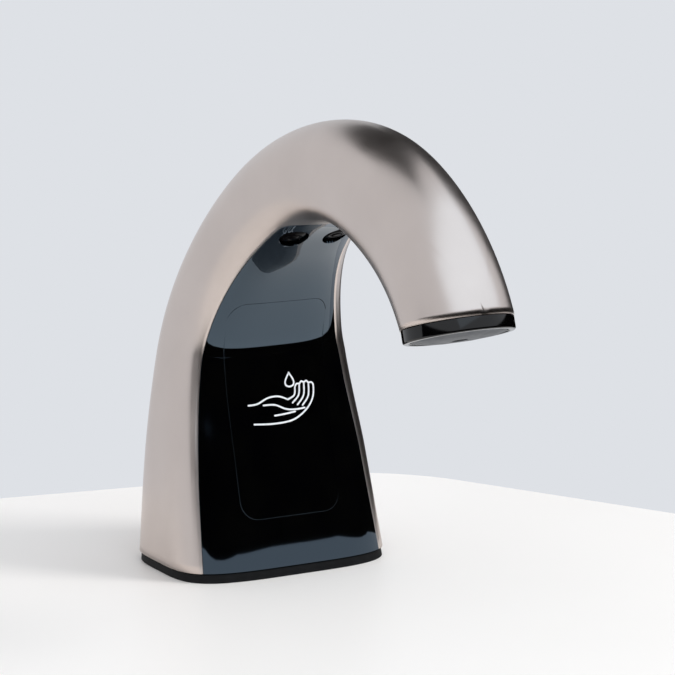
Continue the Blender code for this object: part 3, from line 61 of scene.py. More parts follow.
# Outer line of the spout in the plane x = 0: its back, then (radius, turn) of the lean, crown and nose
BACK_LINE_Y = 0.025
BACK_RISE = 0.035
ARCS = ((0.391, radians(4.4)), (0.0793, radians(93.4)), (0.0733, radians(58.3)))
OUTER_LENGTH = sum((radius * turn for radius, turn in ARCS), BACK_RISE)

# Sections of the spout along the outer line
STATION_SHARES = (0.0, 0.12, 0.28, 0.48, 0.66, 0.83, 1.0)
WIDTHS = (0.072, 0.0668, 0.0556, 0.0415, 0.0341, 0.0308, 0.0321)
DEPTHS = (0.0495, 0.0408, 0.0321, 0.032, 0.029, 0.0312, 0.0284)
POWER_SHARES = (0.0, 0.5, 1.0)
BACK_POWERS = (4.0, 2.05, 1.95)
FRONT_POWERS = (3.9, 3.2, 1.95)

# Walls, gaps and the distance that fine skins are drawn in from the solids
SHELL_WALL = 0.0022
COVER_WALL = 0.002
COVER_RECESS = 0.00025
SEAM = 0.0003
OVERRUN = 0.002
SKIN = 0.00015
WELD = 0.000001

# Cover, door and foot
RIM = 0.0055
BARE_SPOUT = 0.103
COVER_ROUND = 0.014
COVER_LENGTH = OUTER_LENGTH - BARE_SPOUT
GASKET_HEIGHT = 0.0026
GASKET_INSET = 0.0006
FOOT_Z = GASKET_HEIGHT + SEAM
DOOR_HALF_X = 0.0168
DOOR_LOW_Z = 0.017
DOOR_HIGH_Z = 0.081
DOOR_CORNER = 0.0055
DOOR_GAP = 0.00006
SKIRT_BACK_Y = -0.0056
SKIRT_WALL = 0.0018

# Eyes under the crown
EYE_DROP = 0.019
EYE_LENGTH = COVER_LENGTH - EYE_DROP
EYE_SPACING = 0.014
LENS_RADIUS = 0.0043
LENS_HEIGHT = 0.0022
LENS_CROWN = 0.001
LENS_RING = 0.0016
LENS_GROOVE = 0.00022
LENS_STEPS = 12

# Nozzle
TIP_TILT = radians(6.0)
TIP_SLOPE = sin(TIP_TILT) / cos(TIP_TILT)
CAP_HEIGHT = 0.0036
CAP_EDGE = 0.0006
CAP_EDGE_STEPS = 6
CAP_COLUMNS = 128
CAP_INSET = 0.00015
PLUG_DEPTH = 0.006
NOZZLE_RIM = 0.0022
NOZZLE_LIP = 0.0003
NOZZLE_LIP_STEPS = 3
NOZZLE_RECESS = 0.0022
NOZZLE_THICKNESS = 0.0018
NOZZLE_DOME_INSET = 0.0055
NOZZLE_DOME_HEIGHT = 0.0006
NOZZLE_CROWN_INSET = 0.0095
NOZZLE_CROWN_HEIGHT = 0.0009
PLATE_FACETS = 8
FACET_COLUMNS = 3
VALVE_RADIUS = 0.0019

# Edges and shading of the fine pieces
GLOSS_EDGE = 0.0001
CHAMFER = 0.00015
BEVEL_SEGMENTS = 2
BEVEL_ANGLE = radians(40)
SHARP_ANGLE = radians(35)
TURNED_SIDES = 64


# Shapes shared by the pieces


def between(start, end, share):
    """The value a share of the way from start to end."""
    return start + (end - start) * share


def quarter(steps):
    """The (sine, cosine) pairs of a quarter turn in even steps, both ends in."""
    return [(sin(pi / 2 * step / steps), cos(pi / 2 * step / steps)) for step in range(steps + 1)]


def outer_line(length):
    """Point (y, z) and heading from upright of the outer line, length above the deck."""
    heading = 0.0
    y = BACK_LINE_Y
    z = min(length, BACK_RISE)
    left = length - z
    for radius, turn in ARCS:
        step = max(0.0, min(left, radius * turn))
        centre_y = y - radius * cos(heading)
        centre_z = z - radius * sin(heading)
        heading += step / radius
        y = centre_y + radius * cos(heading)
        z = centre_z + radius * sin(heading)
        left -= step
    if left > 0:
        y -= left * sin(heading)
        z += left * cos(heading)
    return y, z, heading


def eased(share, shares, values):
    """A smooth value through the table that never overshoots it."""
    share = min(max(share, shares[0]), shares[-1])
    runs = [b - a for a, b in zip(shares, shares[1:])]
    slopes = [(b - a) / run for a, b, run in zip(values, values[1:], runs)]
    bends = [slopes[0]]
    for before, after, run_a, run_b in zip(slopes, slopes[1:], runs, runs[1:]):
        if before * after <= 0:
            bends.append(0.0)
        else:
            weight_a = 2 * run_b + run_a
            weight_b = run_b + 2 * run_a
            bends.append((weight_a + weight_b) / (weight_a / before + weight_b / after))
    bends.append(slopes[-1])
    row = max(i for i in range(len(runs)) if share >= shares[i])
    run = runs[row]
    t = (share - shares[row]) / run
    start = (1 + 2 * t) * (1 - t) ** 2 * values[row] + t * (1 - t) ** 2 * run * bends[row]
    end = t * t * (3 - 2 * t) * values[row + 1] + t * t * (t - 1) * run * bends[row + 1]
    return start + end


def section(length):
    """Width, depth, back power and front power of the spout at a length."""
    share = length / OUTER_LENGTH
    return (
        eased(share, STATION_SHARES, WIDTHS),
        eased(share, STATION_SHARES, DEPTHS),
        eased(share, POWER_SHARES, BACK_POWERS),
        eased(share, POWER_SHARES, FRONT_POWERS),
    )


def inside_point(length, x, inset):
    """The point inset from the outer line at a length, at the side place x."""
    y, z, heading = outer_line(length)
    return Vector((x, y - inset * cos(heading), z - inset * sin(heading)))


def skin_point(length, turn, inset=0.0):
    """The point of the skin at a length, turn round the section from +X over the back."""
    width, depth, back_power, front_power = section(length)
    across = cos(turn)
    along = sin(turn)
    power = back_power if along > 0 else front_power
    x = (width / 2 - inset) * copysign(abs(across) ** (2 / power), across)
    q = (depth / 2 - inset) * copysign(abs(along) ** (2 / power), along)
    return inside_point(length, x, depth / 2 - q)


def front_point(length, x, sunk):
    """The point of the front skin at a length and a side place, sunk into the spout."""
    width, depth, _, front_power = section(length)
    share = min(1.0, abs(2 * x / width))
    bulge = (1 - share ** front_power) ** (1 / front_power)
    return inside_point(length, x, depth / 2 + depth / 2 * bulge - sunk)


# Halvings in the search for a height
HALVINGS = 24


def front_length(x, z, sunk):
    """The length at which the sunk front skin has the height z at the side place x."""
    low = 0.0
    high = COVER_LENGTH
    for _ in range(HALVINGS):
        middle = (low + high) / 2
        if front_point(middle, x, sunk).z < z:
            low = middle
        else:
            high = middle
    return (low + high) / 2


def frame_to(start, direction):
    """A frame whose Z runs along direction from start, with X as near +X as can be."""
    z_axis = Vector(direction).normalized()
    side = Vector((1.0, 0.0, 0.0))
    x_axis = (side - z_axis * side.dot(z_axis)).normalized()
    y_axis = z_axis.cross(x_axis)
    turn = Matrix((x_axis, y_axis, z_axis)).transposed().to_4x4()
    return Matrix.Translation(start) @ turn


def raised(height):
    """A frame raised by a height."""
    return Matrix.Translation((0.0, 0.0, height))


def axis_frame(name, level=0.0):
    """A frame on the upright axis of a CAD node, at a level."""
    low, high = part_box(name)
    middle = (Vector(low) + Vector(high)) / 2
    return Matrix.Translation((middle.x, middle.y, level))


def end_frame(name, turn, lift=0.0):
    """A frame on a node's axis, lift from its lower end or, turned over, from its upper end."""
    low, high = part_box(name)
    return axis_frame(name, high[2] - lift if turn else low[2] + lift) @ Matrix.Rotation(turn, 4, "X")


def square_frame():
    """A frame square to the spout at the middle of its end, with Z running out of it."""
    start = inside_point(OUTER_LENGTH, 0.0, section(OUTER_LENGTH)[1] / 2)
    heading = outer_line(OUTER_LENGTH)[2]
    return frame_to(start, (0.0, -sin(heading), cos(heading)))


NOZZLE_FRAME = square_frame() @ Matrix.Rotation(TIP_TILT, 4, "X")


def skin_loop(length, columns, inset):
    """The outline of the spout at a length, drawn in by inset."""
    return [skin_point(length, 2 * pi * step / columns, inset) for step in range(columns)]


def nozzle_loops(rows, columns):
    """Outlines from (length, inset) rows, with those beyond the spout turned to the nozzle's face."""
    square = square_frame().inverted()
    turn = NOZZLE_FRAME @ square
    loops = []
    for length, inset in rows:
        loop = skin_loop(length, columns, inset)
        loops.append([turn @ point if (square @ point).z > 0 else point for point in loop])
    return loops


def rounded_rows(start, length, inset, growth, steps):
    """Rows round a quarter edge from the wall at start, growing by length and by inset."""
    return [(start + length * sine, inset + growth * (1 - cosine)) for sine, cosine in quarter(steps)]


def both_sides(right):
    """The whole outline of (x, length) points from its right half."""
    return right + [(-x, length) for x, length in reversed(right[1:-1])]


# Objects


def add_object(name, data):
    """A new object in the scene."""
    made = bpy.data.objects.new(name, data)
    scene.collection.objects.link(made)
    return made


def add_piece(name, bm, finish=None, body=None, slot=None):
    """An object from bm, with its finish and the body that it rides on. The slot argument is not used."""
    mesh = bpy.data.meshes.new(name)
    bm.to_mesh(mesh)
    bm.free()
    made = add_object(name, mesh)
    if finish:
        mesh.materials.append(finish)
    mesh.shade_smooth()
    mesh.set_sharp_from_angle(angle=SHARP_ANGLE)
    if body:
        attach(made, body)
    return made


def cut(made, name, bm, crossed=False):
    """Cut the solid bm out of a piece; crossed says that the parts of bm overlap."""
    tool = add_piece(name, bm)
    tool.hide_render = True
    change = made.modifiers.new(name, "BOOLEAN")
    change.operation = "DIFFERENCE"
    change.solver = "EXACT"
    change.use_self = crossed
    change.object = tool


def settle(made, wall=0.0, bevel=0.0):
    """Make the cuts, a wall, rounded edges and even shading the mesh, and drop the cutting tools."""
    tools = [change.object for change in made.modifiers]
    if wall:
        change = made.modifiers.new("wall", "SOLIDIFY")
        change.thickness = wall
        change.offset = -1.0
        change.use_even_offset = True
    if bevel:
        change = made.modifiers.new("edges", "BEVEL")
        change.width = bevel
        change.segments = BEVEL_SEGMENTS
        change.limit_method = "ANGLE"
        change.angle_limit = BEVEL_ANGLE
    made.modifiers.new("even_shading", "WEIGHTED_NORMAL").keep_sharp = True
    evaluated = made.evaluated_get(bpy.context.evaluated_depsgraph_get())
    mesh = bpy.data.meshes.new_from_object(evaluated)
    made.modifiers.clear()
    old = made.data
    made.data = mesh
    bpy.data.meshes.remove(old)
    for tool in tools:
        bpy.data.objects.remove(tool, do_unlink=True)


def mapped_grid(columns, rows, place):
    """A grid of faces whose point at the shares u, v is place(u, v)."""
    bm = bmesh.new()
    bmesh.ops.create_grid(bm, x_segments=columns, y_segments=rows, size=0.5)
    for vert in bm.verts:
        vert.co = place(vert.co.x + 0.5, vert.co.y + 0.5)
    bmesh.ops.remove_doubles(bm, verts=bm.verts, dist=WELD)
    bmesh.ops.recalc_face_normals(bm, faces=bm.faces)
    return bm


def stacked_grid(loops, capped=False):
    """A surface through loops of as many points each, closed by flat ends where it is capped."""
    columns = len(loops[0])
    rows = len(loops) - 1

    def place(u, v):
        return loops[round(v * rows)][round(u * columns) % columns]

    bm = mapped_grid(columns, rows, place)
    if capped:
        bmesh.ops.holes_fill(bm, edges=bm.edges, sides=0)
        bmesh.ops.recalc_face_normals(bm, faces=bm.faces)
    return bm


def round_bar(bm, place, radius, low, high):
    """A cylinder on place's Z axis from low to high."""
    bmesh.ops.create_cone(
        bm, cap_ends=True, segments=TURNED_SIDES, radius1=radius, radius2=radius, depth=high - low,
        matrix=place @ raised((low + high) / 2),
    )


def block(bm, place, size):
    """A box of a size round the origin of place."""
    bmesh.ops.create_cube(bm, size=1.0, matrix=place @ Matrix.Diagonal((*size, 1.0)))


def turned(place, profile, sides=TURNED_SIDES):
    """A turned solid from its profile of (radius, height) points on place's Z axis."""
    bm = bmesh.new()
    points = [bm.verts.new((radius, 0.0, height)) for radius, height in profile]
    edges = [bm.edges.new(pair) for pair in zip(points, points[1:])]
    if profile[0][0] > 0:
        edges.append(bm.edges.new((points[-1], points[0])))
    bmesh.ops.spin(
        bm, geom=points + edges, cent=(0.0, 0.0, 0.0), axis=(0.0, 0.0, 1.0), angle=2 * pi, steps=sides,
        use_merge=True,
    )
    bmesh.ops.remove_doubles(bm, verts=bm.verts, dist=WELD)
    bmesh.ops.recalc_face_normals(bm, faces=bm.faces)
    bmesh.ops.transform(bm, matrix=place, verts=bm.verts)
    return bm


# Finishes

NOISE_SPAN = (0.3, 0.7)
TONE_STOPS = (0.35, 0.65)
GLOSS_DETAIL = 3.0
DRAWN = (1.0, 1.0, 0.03)
LATHE_PITCH = 0.0002
LATHE_MARK = 0.000004


def linear(code):
    """The linear colour of an sRGB hex code."""
    channels = []
    for place in (0, 2, 4):
        value = int(code[place:place + 2], 16) / 255
        channels.append(value / 12.92 if value <= 0.04045 else ((value + 0.055) / 1.055) ** 2.4)
    return (*channels, 1.0)


def add_node(tree, kind, values=None, links=None, settings=None):
    """A node with its socket values, its links from the outputs of other nodes and its settings."""
    made = tree.nodes.new(kind)
    for key, value in (settings or {}).items():
        setattr(made, key, value)
    for socket, value in (values or {}).items():
        made.inputs[socket].default_value = value
    for socket, output in (links or {}).items():
        tree.links.new(output, made.inputs[socket])
    return made


def finished(name, colour, tones=None, detail=3.0, gloss=None, grain=None, stretch=None, **values):
    """A material from its shader values and patterns in metres on the piece's own coordinates.

    The colour drifts between tones (patch size, tone, tone), the roughness between the limits in
    gloss (patch size, low, high), and grain (size, height, detail) is a fine relief.
    """
    made = bpy.data.materials.new(name)
    made.use_nodes = True
    tree = made.node_tree
    shader = tree.nodes["Principled BSDF"]
    shader.inputs["Base Color"].default_value = linear(colour)
    for key, value in values.items():
        shader.inputs[key.replace("_", " ")].default_value = value
    where = {"Vector": add_node(tree, "ShaderNodeTexCoord").outputs["Object"]}
    if stretch:
        mapping = add_node(tree, "ShaderNodeMapping", {"Scale": stretch}, where)
        where = {"Vector": mapping.outputs["Vector"]}
    if tones:
        size, *stops = tones
        noise = add_node(tree, "ShaderNodeTexNoise", {"Scale": 1 / size, "Detail": detail}, where)
        ramp = add_node(tree, "ShaderNodeValToRGB", links={"Fac": noise.outputs["Fac"]})
        for stop, position, tone in zip(ramp.color_ramp.elements, TONE_STOPS, stops):
            stop.position = position
            stop.color = linear(tone)
        tree.links.new(ramp.outputs["Color"], shader.inputs["Base Color"])
    if gloss:
        size, low, high = gloss
        noise = add_node(tree, "ShaderNodeTexNoise", {"Scale": 1 / size, "Detail": GLOSS_DETAIL}, where)
        spread = add_node(
            tree, "ShaderNodeMapRange",
            {"From Min": NOISE_SPAN[0], "From Max": NOISE_SPAN[1], "To Min": low, "To Max": high},
            {"Value": noise.outputs["Fac"]},
        )
        tree.links.new(spread.outputs["Result"], shader.inputs["Roughness"])
    if grain:
        size, height, detail = grain
        noise = add_node(tree, "ShaderNodeTexNoise", {"Scale": 1 / size, "Detail": detail}, where)
        relief = add_node(tree, "ShaderNodeBump", {"Distance": height}, {"Height": noise.outputs["Fac"]})
        tree.links.new(relief.outputs["Normal"], shader.inputs["Normal"])
    return made


def moulded(name, colour, tone, roughness, sheen=0.5):
    """A spark-eroded moulding in plastic: two near tones, a fine matt grain and a drifting gloss.

    Its grain is drawn at 0.4 mm, coarser than the real one, so that it shows.
    """
    return finished(
        name, colour, Roughness=roughness, Specular_IOR_Level=sheen, tones=(0.008, colour, tone),
        gloss=(0.003, roughness - 0.03, roughness + 0.05), grain=(0.0004, 0.000006, 2.0),
    )


def brass():
    """Turned brass bar: yellow, bright, with the feed marks of the lathe."""
    made = finished(
        "turned_brass", "d6b571", Metallic=1.0, Roughness=0.25, tones=(0.004, "cfae68", "dbbd7c")
    )
    tree = made.node_tree
    # At a scale of 1 the bands stand 2 pi / 20 apart
    scale = 2 * pi / 20 / LATHE_PITCH
    rings = add_node(
        tree, "ShaderNodeTexWave", {"Scale": scale, "Distortion": 0.6, "Detail": 1.0},
        {"Vector": add_node(tree, "ShaderNodeTexCoord").outputs["Object"]},
        {"wave_type": "BANDS", "bands_direction": "Z"},
    )
    relief = add_node(tree, "ShaderNodeBump", {"Distance": LATHE_MARK}, {"Height": rings.outputs["Fac"]})
    tree.links.new(relief.outputs["Normal"], tree.nodes["Principled BSDF"].inputs["Normal"])
    return made


def board_green():
    """Green solder mask over copper: semi-gloss, with the tracks showing as paler lines."""
    made = finished("solder_mask", "14603a", Roughness=0.35)
    tree = made.node_tree
    tracks = add_node(
        tree, "ShaderNodeTexBrick",
        {
            "Scale": 1.0, "Brick Width": 0.0042, "Row Height": 0.0013, "Mortar Size": 0.00022,
            "Color1": linear("135a36"), "Color2": linear("166440"), "Mortar": linear("2c8456"),
        },
        {"Vector": add_node(tree, "ShaderNodeTexCoord").outputs["Object"]},
    )
    tree.links.new(tracks.outputs["Color"], tree.nodes["Principled BSDF"].inputs["Base Color"])
    return made


FINISHES = {
    # Nickel plate over a bead-blasted casting: an even warm grey with a broad soft sheen. Its grain is
    # drawn at 0.35 mm, coarser than the real one, so that it shows
    "satin_nickel": finished(
        "satin_nickel_plate", "d3c7c0", Metallic=1.0, Roughness=0.3, tones=(0.02, "d1c5be", "d5c9c2"),
        gloss=(0.006, 0.285, 0.315), grain=(0.00035, 0.0000025, 2.0),
    ),
    # Piano-black ABS under a hard, cold lacquer: a deep mirror with the faintest orange peel
    "black_gloss": finished(
        "lacquered_black_abs", "020202", Roughness=0.03, IOR=1.6, Specular_IOR_Level=1.0,
        Specular_Tint=(0.6, 0.8, 1.0, 1.0), tones=(0.01, "010102", "030303"),
        grain=(0.004, 0.0000012, 1.0),
    ),
    # Smoked acrylic that passes infrared light: polished, nearly black, with a wine-red depth
    "smoked_lens": finished(
        "smoked_acrylic", "040303", Roughness=0.05, Specular_IOR_Level=0.02,
        tones=(0.003, "030202", "050303"),
    ),
    # Mouldings: slate-grey acetal, black ABS and natural acetal, which looks like ivory
    "grey_moulding": moulded("grey_acetal", "30363d", "373d45", 0.4, sheen=0.2),
    "black_moulding": moulded("black_abs", "17181a", "1d1e20", 0.5),
    "white_moulding": moulded("natural_acetal", "dcdbd4", "e4e3dd", 0.42),
    # Moulded EPDM rubber: black and matt, with the faintest bloom
    "rubber": finished(
        "epdm_rubber", "080809", Roughness=0.7, Specular_IOR_Level=0.25,
        tones=(0.0025, "060607", "0d0d0e"), detail=6.0, grain=(0.0005, 0.00001, 4.0),
    ),
    # Zinc die casting as it leaves the tool: dull grey with flow clouds and a slightly rough skin
    "zinc": finished(
        "cast_zinc", "a7aaad", Metallic=1.0, Roughness=0.45, tones=(0.007, "9a9da1", "b2b4b6"),
        detail=5.0, gloss=(0.003, 0.4, 0.55), grain=(0.0006, 0.00001, 2.0),
    ),
    "brass": brass(),
    # Zinc-plated steel: a cool silver whose clear passivation drifts between blue and straw
    "steel": finished(
        "zinc_plated_steel", "c6cacf", Metallic=1.0, Roughness=0.28, tones=(0.0015, "c1c8d1", "d0cec4"),
        gloss=(0.002, 0.24, 0.34),
    ),
    # Deep-drawn nickelled steel can: bright, with long draw marks up its sides
    "motor_steel": finished(
        "drawn_steel_can", "bdbfc2", Metallic=1.0, Roughness=0.3, stretch=DRAWN,
        tones=(0.0015, "b6b9bd", "c4c5c6"), gloss=(0.0006, 0.24, 0.4),
    ),
    # Platinum-cured silicone: milky, flexible and half clear
    "clear_tube": finished(
        "silicone_tube", "e4e9eb", Roughness=0.22, IOR=1.41, Transmission_Weight=0.55,
        tones=(0.01, "dfe5e8", "eaeeef"),
    ),
    # Shrink film round the cell: glossy graphite, a little wavy
    "cell_jacket": finished(
        "shrink_film", "24282d", Roughness=0.22, Coat_Weight=0.4, tones=(0.004, "22262b", "2a2e34"),
        grain=(0.0015, 0.000004, 1.0),
    ),
    "board_green": board_green(),
    # PVC wire sleeve: red, smooth and slightly waxy
    "wire_red": finished("pvc_sleeve", "b3231e", Roughness=0.38, tones=(0.003, "ad201b", "bb2a22")),
}
# Black ABS from a polished tool: glossy, but without the depth of lacquer
RING_BLACK = finished(
    "gloss_black_abs", "030303", Roughness=0.08, tones=(0.006, "020202", "040405"),
    grain=(0.002, 0.0000015, 1.0),
)
# Screen-printed white ink, a little uneven where it lies on the lacquer
PRINT_WHITE = finished("white_print", "e9ebed", Roughness=0.5, tones=(0.0008, "dfe2e5", "f2f3f4"))
# White laminate: even and softly shining
TABLE_WHITE = finished("white_laminate", "faf4ee", Roughness=0.45, tones=(0.15, "f9f3ed", "fbf5ef"))
# Black felt, quite without gloss, for the cards that darken the reflections
FELT = finished(
    "black_felt", "0a0705", Roughness=1.0, Specular_IOR_Level=0.0, tones=(0.002, "090604", "0b0806")
)

for name, node in frame["nodes"].items():
    node.data.materials.clear()
    node.data.materials.append(FINISHES[SLOTS[name]])


def stand_for(node, name, bm, finish=None):
    """A piece from bm that rides where a CAD node does and stands for it."""
    slot = SLOTS[node]
    made = add_piece(name, bm, finish or FINISHES[slot], BODIES[node], slot)
    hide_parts(node)
    return made


# Housing

# Grid of the shell, from the cover's window round to the back and the tip
LEG_COLUMNS = 60
ARC_BACK_COLUMNS = 56
ARC_TIP_COLUMNS = 34
SHELL_ROWS = 56

# Rolled lip round the cover's window: (distance from the edge, how far the skin is sunk there)
LIP = (
    (0.0, 0.00042), (0.00018, 0.00026), (0.00042, 0.00012), (0.00075, 0.00003), (0.0011, 0.0),
    (0.0023, 0.0),
)
LIP_TRIAL = 0.01


def tip_length(turn):
    """The length at which the nozzle's tilted face cuts the skin, turn round the section."""
    _, depth, back_power, front_power = section(OUTER_LENGTH)
    power = back_power if sin(turn) > 0 else front_power
    q = depth / 2 * copysign(abs(sin(turn)) ** (2 / power), sin(turn))
    return OUTER_LENGTH + q * TIP_SLOPE


def make_shell():
    """The skin outside the cover's window, with its rolled lip and its wall."""
    arc_columns = ARC_BACK_COLUMNS + ARC_TIP_COLUMNS
    half_columns = LEG_COLUMNS + arc_columns
    straight = COVER_LENGTH - COVER_ROUND
    back = pi / 2
    rows = len(LIP) - 1 + SHELL_ROWS

    def place(u, v):
        column = (1 - abs(2 * u - 1)) * half_columns
        if column <= LEG_COLUMNS:
            length = FOOT_Z + (straight - FOOT_Z) * column / LEG_COLUMNS
            swing = pi / 2
            far_length, far_turn = length, back
        else:
            run = column - LEG_COLUMNS
            swing = pi / 2 * (1 - run / arc_columns)
            length = straight + COVER_ROUND * cos(swing)
            if run <= ARC_BACK_COLUMNS:
                far_length = straight + (tip_length(back) - straight) * run / ARC_BACK_COLUMNS
                far_turn = back
            else:
                far_turn = back - pi * (run - ARC_BACK_COLUMNS) / ARC_TIP_COLUMNS
                far_length = tip_length(far_turn)
        width, _, _, front_power = section(length)
        x = (width / 2 - RIM) * sin(swing)
        turn = -acos(min(1.0, (2 * x / width) ** (front_power / 2))) if x > 0 else -pi / 2
        trial = skin_point(between(length, far_length, LIP_TRIAL), between(turn, far_turn, LIP_TRIAL))
        reach = (trial - skin_point(length, turn)).length / LIP_TRIAL
        row = round(v * rows)
        if row < len(LIP):
            distance, sunk = LIP[row]
            share = min(distance / reach, 1.0)
        else:
            last = min(LIP[-1][0] / reach, 1.0)
            share = last + (1 - last) * (row - len(LIP) + 1) / SHELL_ROWS
            sunk = 0.0
        point = skin_point(between(length, far_length, share), between(turn, far_turn, share), SKIN + sunk)
        if u < 0.5:
            point.x *= -1.0
        if abs(point.x) < WELD:
            point.x = 0.0
        return point

    bm = mapped_grid(2 * half_columns, rows, place)
    bm.faces.ensure_lookup_table()
    bm.normal_update()
    face = bm.faces[0]
    if face.normal.dot(face.calc_center_median()) < 0:
        bmesh.ops.reverse_faces(bm, faces=bm.faces)
    shell = stand_for("spout_shell", "spout_skin", bm)
    settle(shell, wall=SHELL_WALL)


# Columns along the edges of the door and the cover, and rows across them
BOTTOM_COLUMNS = 12
CORNER_COLUMNS = 6
SIDE_COLUMNS = 40
DOOR_ROWS = 16
COVER_ROWS = 14


def door_outline(inset, sunk):
    """The door's edge as (x, length) points from the middle of its foot round to the right."""
    half = DOOR_HALF_X - inset
    low = DOOR_LOW_Z + inset
    high = DOOR_HIGH_Z - inset
    corner = DOOR_CORNER - inset
    bend = quarter(2 * CORNER_COLUMNS)[:-1]
    points = [((half - corner) * step / BOTTOM_COLUMNS, low) for step in range(BOTTOM_COLUMNS)]
    points += [(half - corner + corner * sine, low + corner - corner * cosine) for sine, cosine in bend]
    for step in range(SIDE_COLUMNS):
        points.append((half, low + corner + (high - low - 2 * corner) * step / SIDE_COLUMNS))
    points += [(half - corner + corner * cosine, high - corner + corner * sine) for sine, cosine in bend]
    for step in range(BOTTOM_COLUMNS + 1):
        points.append(((half - corner) * (1 - step / BOTTOM_COLUMNS), high))
    return both_sides([(x, front_length(x, z, sunk)) for x, z in points])


def cover_outline():
    """The cover's edge as (x, length) points, one for each point of the door's edge."""
    straight = COVER_LENGTH - SEAM - COVER_ROUND
    bottom = BOTTOM_COLUMNS + CORNER_COLUMNS
    side = CORNER_COLUMNS + SIDE_COLUMNS + CORNER_COLUMNS

    def half(length):
        return section(length)[0] / 2 - RIM - SEAM

    points = [(half(FOOT_Z) * step / bottom, FOOT_Z) for step in range(bottom)]
    for step in range(side):
        length = FOOT_Z + (straight - FOOT_Z) * step / side
        points.append((half(length), length))
    for step in range(bottom + 1):
        swing = pi / 2 * (1 - step / bottom)
        length = straight + COVER_ROUND * cos(swing)
        points.append((half(length) * sin(swing), length))
    return both_sides(points)


def skin_loops(inner, outer, rows, sunk):
    """Loops over the sunk front skin between two outlines of (x, length) points."""
    loops = []
    for row in range(rows + 1):
        loops.append([
            front_point(between(length, far_length, row / rows), between(x, far_x, row / rows), sunk)
            for (x, length), (far_x, far_length) in zip(inner, outer)
        ])
    return loops


def eye_places():
    """Frames at the two eyes, on the cover's face with Z running out of it."""
    heading = outer_line(EYE_LENGTH)[2]
    outward = (0.0, -cos(heading), -sin(heading))
    middles = [front_point(EYE_LENGTH, x, COVER_RECESS) for x in (-EYE_SPACING / 2, EYE_SPACING / 2)]
    return [frame_to(middle, outward) for middle in middles]


def make_cover():
    """The cover's face and back round the door's opening, with the eye holes cut before the edges."""
    sunk = COVER_RECESS + SKIN
    deep = sunk + COVER_WALL
    edge = cover_outline()
    loops = skin_loops(door_outline(0.0, sunk), edge, COVER_ROWS, sunk)
    loops += skin_loops(edge, door_outline(0.0, deep), COVER_ROWS, deep)
    cover = stand_for("front_cover", "cover_skin", stacked_grid([*loops, loops[0]]))
    holes = bmesh.new()
    for place in eye_places():
        round_bar(holes, place, LENS_RADIUS + DOOR_GAP, -COVER_WALL - OVERRUN, OVERRUN)
    cut(cover, "eye_holes", holes)
    settle(cover, bevel=GLOSS_EDGE)


def make_door():
    """The door's face, its skirt back into the tray's mouth and the hollow behind them."""
    sunk = COVER_RECESS + SKIN
    loops = []
    for inset, depth in ((DOOR_GAP, sunk), (DOOR_GAP + SKIRT_WALL, sunk + COVER_WALL)):
        outline = door_outline(inset, depth)
        low = min(length for _, length in outline)
        high = max(length for _, length in outline)
        half = max(x for x, _ in outline)
        spine = [(0.0, min(max(length, low + half), high - half)) for _, length in outline]
        faces = skin_loops(outline, spine, DOOR_ROWS, depth)
        rim = [Vector((point.x, SKIRT_BACK_Y, point.z)) for point in faces[0]]
        loops += [rim, *faces] if loops else [*faces[::-1], rim]
    door = stand_for("battery_door", "door_skin", stacked_grid(loops))
    settle(door, bevel=GLOSS_EDGE)


def make_lenses():
    """Two polished eyes, each with a fine ring round its middle."""
    edge = LENS_RADIUS - SKIN
    profile = [(0.0, -LENS_HEIGHT), (edge, -LENS_HEIGHT)]
    for sine, cosine in quarter(LENS_STEPS):
        dip = LENS_GROOVE if abs(edge * cosine - LENS_RING) < LENS_GROOVE else 0.0
        profile.append((edge * cosine, LENS_CROWN * (sine - 1) - dip - SKIN))
    for name, place in zip(("lens_left", "lens_right"), eye_places()):
        stand_for(name, name + "_skin", turned(place, profile))


def make_nozzle():
    """The black ring on the spout's end and the grey faceted plate in its recess."""
    end = OUTER_LENGTH + SEAM
    plug_inset = SHELL_WALL + 2 * SEAM
    top = end + CAP_HEIGHT
    floor = top - NOZZLE_RECESS
    outer = CAP_INSET + SKIN
    rows = [(OUTER_LENGTH - PLUG_DEPTH, plug_inset), (end, plug_inset), (end, outer)]
    rows += rounded_rows(top - CAP_EDGE, CAP_EDGE, outer, CAP_EDGE, CAP_EDGE_STEPS)
    rows += rounded_rows(top, -NOZZLE_LIP, NOZZLE_RIM - NOZZLE_LIP, NOZZLE_LIP, NOZZLE_LIP_STEPS)
    rows.append((floor, NOZZLE_RIM))
    bm = stacked_grid(nozzle_loops(rows, CAP_COLUMNS), capped=True)
    stand_for("nozzle_cap", "cap_skin", bm, RING_BLACK)

    low = floor + SEAM
    inset = NOZZLE_RIM + SEAM
    face = low + NOZZLE_THICKNESS
    rows = [
        (low, inset), (face, inset), (face + NOZZLE_DOME_HEIGHT, NOZZLE_DOME_INSET),
        (face + NOZZLE_CROWN_HEIGHT, NOZZLE_CROWN_INSET),
    ]
    columns = PLATE_FACETS * FACET_COLUMNS
    loops = nozzle_loops(rows, columns)
    for loop in loops[2:]:
        corners = loop[::FACET_COLUMNS]
        for step in range(columns):
            facet = step // FACET_COLUMNS
            share = step % FACET_COLUMNS / FACET_COLUMNS
            loop[step] = corners[facet].lerp(corners[(facet + 1) % PLATE_FACETS], share)
    plate = stand_for("nozzle_plate", "plate_skin", stacked_grid(loops, capped=True))
    hole = bmesh.new()
    round_bar(hole, NOZZLE_FRAME, VALVE_RADIUS + SEAM, -OVERRUN, CAP_HEIGHT + OVERRUN)
    cut(plate, "valve_hole", hole)
    settle(plate)


GASKET_COLUMNS = 160
GASKET_HOLES = (("stud_insert_left", 0.0043), ("stud_insert_right", 0.0043), ("inlet_spigot", 0.0049))


